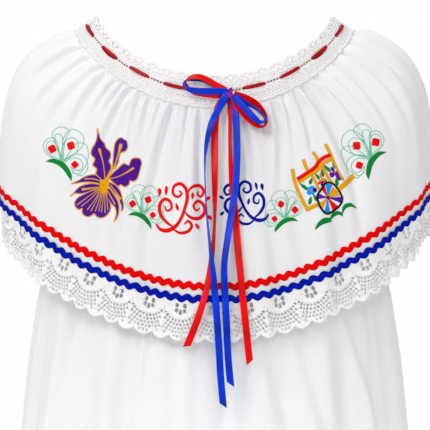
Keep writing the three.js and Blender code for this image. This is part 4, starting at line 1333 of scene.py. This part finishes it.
# Orchid with its foot at the gold heart: petals, each edged in gold with a gold vein.
PETALS = {
    "top": (
        (-2.6, 7.3, 4.1, 8.3), (-9.8, 15.0, 6.0, 13.0), (-8.6, 21.2, 10.0, 20.2), (-13.8, 26.4, 10.2, 25.9),
        (-11.1, 34.0, 7.6, 31.3), (-15.7, 40.0, 9.8, 37.8), (-15.2, 46.3, 8.8, 43.5),
        (-10.9, 54.4, 3.4, 48.9),
        (-8.6, 60.6, 1.4, 54.2), (-7.8, 65.3, -4.3, 60.1), (-7.4, 70.4, -6.2, 69.9),
    ),
    "club": (
        (12.2, 22.0, 15.0, 21.0), (12.6, 31.0, 19.4, 29.0), (13.3, 40.0, 21.2, 37.4),
        (14.0, 48.0, 23.0, 42.0),
        (15.4, 55.4, 28.8, 44.6), (19.5, 60.6, 31.6, 50.4), (24.0, 62.0, 30.0, 57.6),
    ),
    "right": (
        (7.8, 10.4, 8.6, 8.0), (14.0, 17.6, 13.5, 3.1), (19.7, 22.5, 19.4, -1.4), (22.2, 25.2, 22.4, 0.6),
        (27.2, 28.4, 28.2, -2.2), (33.0, 26.2, 33.6, 1.4), (34.7, 30.0, 34.4, 5.7), (37.0, 34.2, 39.4, 5.0),
        (42.0, 35.7, 44.2, 8.6), (47.7, 34.4, 46.8, 16.1), (50.0, 29.5, 48.4, 22.8),
    ),
    "left_upper": (
        (-3.6, 8.3, -5.2, 2.1), (-8.8, 13.2, -11.9, 3.4), (-16.1, 13.6, -20.2, 4.1),
        (-24.3, 10.9, -27.5, 3.8),
        (-31.6, 6.4, -33.7, 2.8), (-38.6, 3.4, -39.0, 2.4),
    ),
    "left_lower": (
        (-5.2, 1.0, -5.2, -3.6), (-15.0, 2.3, -11.5, -5.2), (-24.3, 0.9, -19.6, -8.7),
        (-31.6, -2.6, -28.5, -10.9),
        (-37.2, -8.6, -36.8, -10.6), (-40.8, -12.2, -41.0, -12.8),
    ),
    "lip": (
        (-26.4, -12.4, -6.2, -4.1), (-33.5, -16.6, -5.7, -4.6), (-37.0, -22.3, -5.2, -5.2),
        (-36.0, -28.0, -4.6, -5.8),
        (-31.6, -31.5, -3.9, -6.4), (-27.6, -30.2, -3.1, -7.0), (-27.4, -35.7, -2.4, -7.6),
        (-22.8, -40.4, -1.6, -8.2),
        (-16.6, -40.2, -0.9, -8.6), (-12.0, -36.8, -0.2, -9.0), (-9.3, -40.3, 0.5, -9.2),
        (-3.6, -42.6, 1.2, -9.4),
        (2.1, -41.2, 2.0, -9.6), (7.5, -35.7, 2.8, -9.8), (9.8, -28.5, 3.6, -9.7), (8.8, -22.6, 4.6, -9.4),
    ),
    "right_lower": (
        (4.1, -6.2, 8.3, -4.1), (5.9, -16.1, 14.2, -12.2), (10.7, -24.3, 18.8, -20.0),
        (15.0, -28.2, 20.3, -26.8),
        (16.8, -34.7, 20.0, -34.7), (16.1, -40.6, 18.3, -40.8), (14.3, -45.4, 16.0, -45.2),
    ),
    "right_outer": (
        (7.3, -1.0, 8.3, 4.1), (14.3, -10.0, 16.8, -0.2), (19.5, -16.3, 22.6, -8.8),
        (21.8, -22.4, 24.6, -17.1),
        (23.4, -27.5, 26.1, -26.0), (23.6, -34.0, 25.6, -31.0),
    ),
}
HEART = (
    (0.4, 8.6, 8.4, 10.0), (-4.6, 4.6, 7.8, 5.0), (-6.4, -0.5, 7.8, -0.8), (-6.0, -5.6, 6.0, -6.2),
    (-1.6, -9.8, 3.0, -9.8)
)
VEINS = (
    ((2.1, 9.0, 1.4), (1.0, 20.0, 1.3), (-1.0, 32.0, 1.7), (-3.4, 40.0, 2.6), (-5.2, 46.0, 4.6),
     (-6.0, 48.0, 2.4)),
    ((4.7, 8.0, 3.4), (10.5, 19.0, 3.2), (14.5, 23.5, 2.4), (17.5, 33.0, 1.9), (20.5, 43.0, 2.4),
     (22.8, 51.0, 4.8), (23.2, 54.0, 3.0)),
    ((8.0, 8.4, 1.3), (19.0, 11.0, 1.3), (28.0, 15.4, 1.9), (35.6, 20.0, 2.9), (39.6, 22.6, 3.6)),
    ((-4.7, 5.7, 1.4), (-14.0, 8.4, 1.5), (-23.8, 8.2, 1.8)),
    ((-6.0, -2.2, 1.3), (-18.0, -4.2, 2.2), (-27.5, -5.6, 3.8)),
    ((5.7, -6.7, 1.2), (10.4, -15.6, 1.4), (15.6, -25.0, 1.7)),
    ((8.8, 1.0, 1.2), (16.0, -8.0, 1.5), (22.6, -18.4, 3.2)),
    ((-5.9, -4.6, 1.1), (-20.0, -15.0, 1.1), (-33.6, -25.6, 1.4)),
    ((-5.2, -5.6, 1.1), (-16.0, -17.0, 1.1), (-28.2, -27.6, 1.2)),
    ((-4.2, -6.6, 1.1), (-12.0, -20.0, 1.1), (-20.6, -31.6, 1.4)),
    ((-3.0, -7.6, 1.1), (-9.0, -20.0, 1.1), (-16.2, -33.6, 1.4)),
    ((-1.8, -8.4, 1.1), (-6.0, -21.0, 1.1), (-10.6, -33.8, 1.4)),
    ((-0.6, -9.0, 1.1), (-3.4, -21.0, 1.1), (-5.8, -33.8, 1.4)),
    ((0.8, -9.2, 1.1), (-0.6, -22.0, 1.1), (-2.2, -35.0, 1.4)),
    ((2.2, -9.4, 1.1), (2.2, -22.0, 1.1), (2.6, -36.0, 1.4)),
    ((3.6, -9.4, 1.1), (5.4, -20.0, 1.2), (6.0, -32.0, 1.4)),
)
ORCHID = [fill("purple", rails, "gold") for rails in PETALS.values()]
ORCHID += [line("gold", 1.4, vein, over=THREAD["over"]) for vein in VEINS]
ORCHID += [
    fill("gold", HEART),
    line("gold", 2.4, ((-6.8, 68.0), (-7.4, 74.0))),
    line("gold", 2.0, ((-38.0, 2.8), (-42.0, 2.0))),
    line("gold", 2.0, ((-40.0, -12.0), (-43.4, -14.0))),
    line("gold", 2.0, ((15.4, -44.0), (13.6, -47.4))),
]

# Painted ox cart, drawn from the wheel's hub: gold staves and rails round panels of flowers. Rows give a
# width and the knots of a line.
STAVES = (
    (4.8, ((-45.8, 37.2), (-42.6, 20.4), (-34.8, 0.8), (-24.8, -17.4))),
    (3.6, ((-2.7, 69.5, 4.6), (2.2, 59.8, 4.4), (8.6, 45.8, 3.6), (15.1, 32.4, 2.6), (21.0, 22.1, 2.0))),
    (4.0, ((-31.6, 49.6, 4.6), (-26.4, 37.0, 4.4), (-20.5, 29.0, 3.6), (-10.4, 8.8, 3.2))),
    (4.0, ((-19.4, 59.3, 3.8), (-15.1, 53.4, 4.4), (-12.0, 46.0, 4.0), (-4.3, 35.0, 4.0),
    (1.4, 24.4, 4.2), (6.5, 17.4, 4.0))),
    (4.6, ((-37.6, 19.0), (-24.8, 28.2), (-16.2, 33.2), (-10.8, 38.9), (-4.3, 45.4), (6.8, 50.8))),
    (5.2, ((-26.2, -15.6), (-18.0, -11.4), (-9.0, -7.4))),
    (6.2, ((1.5, 1.2, 4.0), (8.0, 6.0, 5.6), (15.1, 11.2, 6.2), (25.0, 20.0, 6.2), (34.5, 29.0, 6.2))),
)
RED_RAIL = ((-39.6, 23.4), (-27.0, 31.6), (-16.6, 39.0), (-11.9, 46.0), (-5.4, 51.6), (4.6, 55.6))
WHEEL = (
    (1.1, 19.4), (7.5, 17.4), (13.6, 10.6), (19.2, -1.6), (16.0, -9.8), (6.5, -17.8),
    (-1.1, -21.0), (-7.5, -15.8), (-11.9, -7.0), (-13.3, 2.7), (-8.0, 11.3), (-4.5, 17.4),
)
# Angle, length, end width and thread of each wedge between the hub and the rim.
WEDGES = (
    (84, 17.4, 9.4, "sky"), (115, 16.0, 7.0, "red"), (172, 12.6, 8.0, "violet"), (230, 15.6, 9.4, "gold"),
    (268, 19.4, 7.8, "sky"), (306, 17.6, 9.8, "red"), (351, 18.0, 8.4, "violet"),
    (58, 15.0, 3.4, "orange"), (14, 16.0, 3.0, "gold"),
)
LEAVES = (
    (-35.6, 18.0, -24.8, 9.6, 4.8), (-20.0, 26.0, -23.4, 16.8, 4.6), (-18.3, 4.2, -13.4, -5.0, 4.2),
    (-21.2, 1.4, -23.7, -9.4, 4.8),
    (-16.2, 31.0, -10.4, 23.8, 4.2), (-7.3, 39.0, -5.9, 26.6, 4.6), (-5.6, 42.6, 4.6, 33.2, 4.6),
    (6.5, 48.0, 10.0, 37.8, 4.2),
    (11.0, 25.4, 12.9, 15.4, 5.2), (15.8, 28.8, 21.0, 22.4, 3.8), (-4.3, 23.9, -1.0, 19.7, 3.4),
)
# Petals of the three painted flowers: middle, direction, length, width, thread.
BLOSSOMS = (
    (-20.8, 9.2, 150, 6.4, 6.0, "sky"), (-20.8, 9.2, 78, 6.2, 6.4, "sky"), (-20.8, 9.2, 10, 6.8, 6.2, "navy"),
    (-20.8, 9.2, 222, 6.8, 6.4, "sky"), (-20.8, 9.2, 300, 5.6, 5.4, "sky"),
    (9.7, 31.8, 122, 9.4, 4.4, "violet"), (9.7, 31.8, 208, 7.6, 7.0, "violet"),
    (9.7, 31.8, 305, 11.4, 4.6, "violet"),
    (9.7, 31.8, 28, 5.6, 4.6, "violet"), (9.7, 31.8, 344, 6.6, 4.8, "violet"),
    (-7.0, 21.6, 106, 10.6, 2.6, "orange"), (-7.0, 21.6, 60, 5.0, 2.6, "orange"),
    (-7.0, 21.6, 330, 4.8, 3.4, "red"),
    (-7.0, 21.6, 262, 6.4, 3.2, "navy"), (-7.0, 21.6, 214, 8.4, 3.2, "red"),
    (-7.0, 21.6, 168, 5.2, 3.0, "gold"),
)
GROUND_LEAVES = (
    ((-16.4, -40.4, -15.8, -42.2), (-12.0, -31.8, -8.0, -36.0), (-4.3, -26.2, -1.1, -33.2),
     (4.3, -26.2, 4.9, -31.5)),
    ((2.5, -27.0, 4.1, -29.0), (6.4, -19.7, 9.7, -24.2), (11.9, -17.4, 15.1, -22.4),
     (19.4, -19.0, 19.9, -25.0)),
    ((18.7, -16.7, 19.7, -21.2), (20.9, -9.8, 23.9, -14.4), (29.1, -6.6, 30.2, -11.9),
     (37.4, -12.7, 36.7, -14.2)),
)


def lens(thread, x0, z0, x1, z1, wide, blunt=0.0):
    """A leaf or petal from its foot to its tip: narrow at the foot, fullest past the middle."""
    foot, tip = np.array([x0, z0]), np.array([x1, z1])
    side = unit(np.array([z0 - z1, x1 - x0])) * wide / 2
    rows = []
    near_tip, at_tip = 0.66 + 0.2 * blunt, 0.1 + 0.5 * blunt
    for at, part in ((0.0, 0.25), (0.3, 0.75), (0.6, 1.0), (0.85, near_tip), (1.0, at_tip)):
        middle = foot + (tip - foot) * at
        rows.append([*(middle + side * part), *(middle - side * part)])
    return fill(thread, rows)


def towards(x, z, angle, length):
    """The point this far from x, z, at an angle in degrees."""
    return x + length * math.cos(math.radians(angle)), z + length * math.sin(math.radians(angle))


def wedge(angle, far, wide, thread):
    """A wedge of the wheel, from its hub at 0, 0 out to its rim."""
    rows = []
    for at, half in ((0, 0.5), (far / 2, wide / 4), (far, wide / 2)):
        middle = towards(0, 0, angle, at)
        rows.append([*towards(*middle, angle + 90, half), *towards(*middle, angle - 90, half)])
    return fill(thread, rows)


CART = [lens("green", *leaf) for leaf in LEAVES]
CART += [
    lens(thread, x, z, *towards(x, z, angle, far), wide, 1.0)
    for x, z, angle, far, wide, thread in BLOSSOMS
]
CART += [line("gold", wide, path, over=0.3) for wide, path in STAVES[:5]]
CART += [line("red", 5.0, RED_RAIL, over=0.6), line("gold", 5.2, STAVES[5][1], over=0.3)]
CART += [wedge(*row) for row in WEDGES]
CART += [
    line("gold", 6.2, STAVES[6][1], over=0.5),
    line("black", 2.6, WHEEL, closed=True, over=0.8),
    line("orange", 2.4, ((-21.8, 8.8), (-19.6, 9.6)), over=0.7),
    line("red", 2.6, ((8.6, 31.2), (10.8, 32.4)), over=0.7),
    line("gold", 1.4, ((8.2, 33.4), (11.0, 34.0)), over=0.7),
    line("black", 3.4, ((-1.6, 0.0), (1.6, 0.4)), over=0.8),
]
CART += [fill("green", leaf) for leaf in GROUND_LEAVES]

# A plain vine scroll: a swash below, a stem that ends in a curl to each side, and drop leaves. Knots give x,
# z and width, and leaves foot, tip and width.
SCROLL = (
    ((-44, -22, 2.4), (-38, -29, 4.4), (-28, -31, 5.6), (-16, -26, 5.0), (-7, -15, 4.4), (-1, -2, 4.6),
     (3, 11, 5.2), (1, 23, 4.8),
     (-7, 29, 4.4), (-16, 25, 4.0), (-17, 16, 3.8), (-11, 12, 3.4), (-5, 16, 3.0), (-8, 20, 2.2)),
    ((-19, -27, 2.0), (-29, -20, 4.0), (-37, -9, 5.0), (-37, 3, 5.0), (-30, 10, 4.4), (-22, 6, 4.0),
     (-21, -3, 3.4), (-28, -5, 2.8), (-30, 1, 2.0)),
    ((-3, -7, 2.0), (7, -16, 4.0), (19, -17, 5.0), (27, -9, 5.2), (25, 1, 4.6), (17, 5, 4.0),
     (11, -1, 3.4), (15, -7, 2.8), (20, -4, 2.0)),
    ((-21, -29, 2.0), (-10, -35, 3.8), (2, -33, 4.4), (7, -26, 4.0), (2, -20, 3.2), (-3, -24, 2.4)),
    ((2, 15, 2.0), (11, 24, 3.8), (21, 25, 4.6), (27, 18, 4.2), (23, 11, 3.4), (17, 14, 2.6), (19, 18, 2.0)),
)
DROPS = (
    (-37, 14, -36, 25, 5.6), (-28, 15, -26, 27, 5.0), (28, 5, 36, 10, 4.8), (29, -14, 37, -19, 5.0),
    (12, -24, 18, -31, 5.0),
    (-14, 4, -11, -6, 4.6), (10, 8, 11, 17, 4.6),
)


def scroll(thread):
    """The vine scroll in one colour."""
    return [line(thread, 5.0, path) for path in SCROLL] + [lens(thread, *drop) for drop in DROPS]


def dress_embroidery():
    """Lays every motif on the flounce, one mesh to each colour of thread."""
    stitch(SPRIG, -197.5, 69.2)
    stitch(ORCHID, -145.1, 38.5)
    stitch(SPRIG, -93.9, 1.7, 6, (0.84, 0.84))
    stitch(scroll("red"), -38.0, 12.0, 3, (0.9, 1.0))
    stitch(scroll("navy"), 34.0, 18.0, 4, (-0.78, 0.86))
    stitch(SPRIG, 90.2, -4.4, -12, (-0.8, 0.82))
    stitch(CART, 146.3, 22.5)
    stitch(SPRIG, 201.2, 73.7, 20, (-1.02, 1.02))
    for thread, parts in STITCHED.items():
        points, faces, uv, first = [], [], [], 0
        for flat, off in parts:
            rows, columns = flat.shape[:2]
            off = np.broadcast_to(off, (rows, columns))
            middle = flat.mean(axis=1)
            along = np.concatenate([[0], np.cumsum(np.linalg.norm(np.diff(middle, axis=0), axis=1))])
            across = np.linalg.norm(flat - flat[:, :1], axis=-1)
            points.append(lay_on_cloth(flat, off).reshape(-1, 3))
            along = np.broadcast_to(along[:, None], (rows, columns))
            uv.append(np.stack([along, across], axis=-1).reshape(-1, 2))
            faces.append(sheet_faces(rows, columns) + first)
            first += rows * columns
        points, faces, uv = (np.concatenate(each) for each in (points, faces, uv))
        new_piece(f"embroidery_{thread}_stitches", points, faces, THREADS[thread], uv)


# ---------------------------------------------------------------- studio
def set_camera():
    """A long lens straight in front, level with the middle of the blouse."""
    optics = bpy.data.cameras.new("camera")
    optics.sensor_width = 36
    optics.lens = 193.2
    optics.clip_end = 30
    camera = bpy.data.objects.new("camera", optics)
    camera.location = (0.0006, -3.15, -0.2662)
    camera.rotation_euler = (math.radians(90), 0, 0)
    bpy.context.scene.collection.objects.link(camera)
    bpy.context.scene.camera = camera


ROOM_LIGHT = 0.57
FLOOR = dict(radius=1500, height=-800.0, corners=96)
# Lamps that face the middle of the blouse: place and size in metres, and watts.
LAMP_AIM = (0, 0, -0.25)
LAMPS = (
    ("key", (-2.9, -3.3, 2.6), 2.2, 116),
    ("front", (0.2, -3.2, 1.0), 0.8, 22),
    ("fill", (2.8, -3.1, 0.7), 1.2, 22),
    ("top", (-0.2, 0.2, 1.9), 0.8, 9),
    ("rear", (0.4, 2.4, 0.8), 1.6, 22),
)


def set_studio():
    """A pale floor well below the hem, an even white room, and soft lamps from the front and above."""
    paint, _, _ = new_material("floor_matt_white_paint", "f4f4f4", Roughness=0.9)
    corners, radius = FLOOR["corners"], FLOOR["radius"]
    disc = np.linspace(0, TAU, corners, endpoint=False)
    points = [radius * np.cos(disc), radius * np.sin(disc), np.full(corners, FLOOR["height"])]
    mesh = bpy.data.meshes.new("floor")
    mesh.from_pydata((np.stack(points, axis=-1) * MM).tolist(), [], [list(range(corners))])
    mesh.materials.append(paint)
    floor = bpy.data.objects.new("floor", mesh)
    bpy.context.scene.collection.objects.link(floor)
    world = bpy.data.worlds.new("white_room")
    bpy.context.scene.world = world
    world.use_nodes = True
    tree = world.node_tree
    lit = tree.nodes["Background"]
    lit.inputs["Color"].default_value = (1.0, 1.0, 1.0, 1)
    lit.inputs["Strength"].default_value = ROOM_LIGHT
    # Seen straight on, the room is plain white paper, brighter than the light it gives.
    paper = add(tree, "ShaderNodeBackground", {"Color": (1.0, 1.0, 1.0, 1), "Strength": 1.0})
    seen = add(tree, "ShaderNodeLightPath").outputs["Is Camera Ray"]
    mixed = add(tree, "ShaderNodeMixShader", {0: seen, 1: lit.outputs[0], 2: paper.outputs[0]})
    tree.links.new(mixed.outputs[0], tree.nodes["World Output"].inputs["Surface"])
    bpy.context.scene.view_settings.view_transform = "Standard"
    for name, place, size, power in LAMPS:
        light = bpy.data.lights.new(name, "AREA")
        light.size = size
        light.energy = power
        lamp = bpy.data.objects.new(name, light)
        lamp.location = place
        aim = Vector(LAMP_AIM) - Vector(place)
        lamp.rotation_euler = aim.to_track_quat("-Z", "Y").to_euler()
        bpy.context.scene.collection.objects.link(lamp)


set_camera()
set_studio()
dress_cloth()
dress_hem_lace()
dress_neckband()
dress_braids()
dress_neck_ribbon()
dress_bow()
dress_knot()
dress_embroidery()
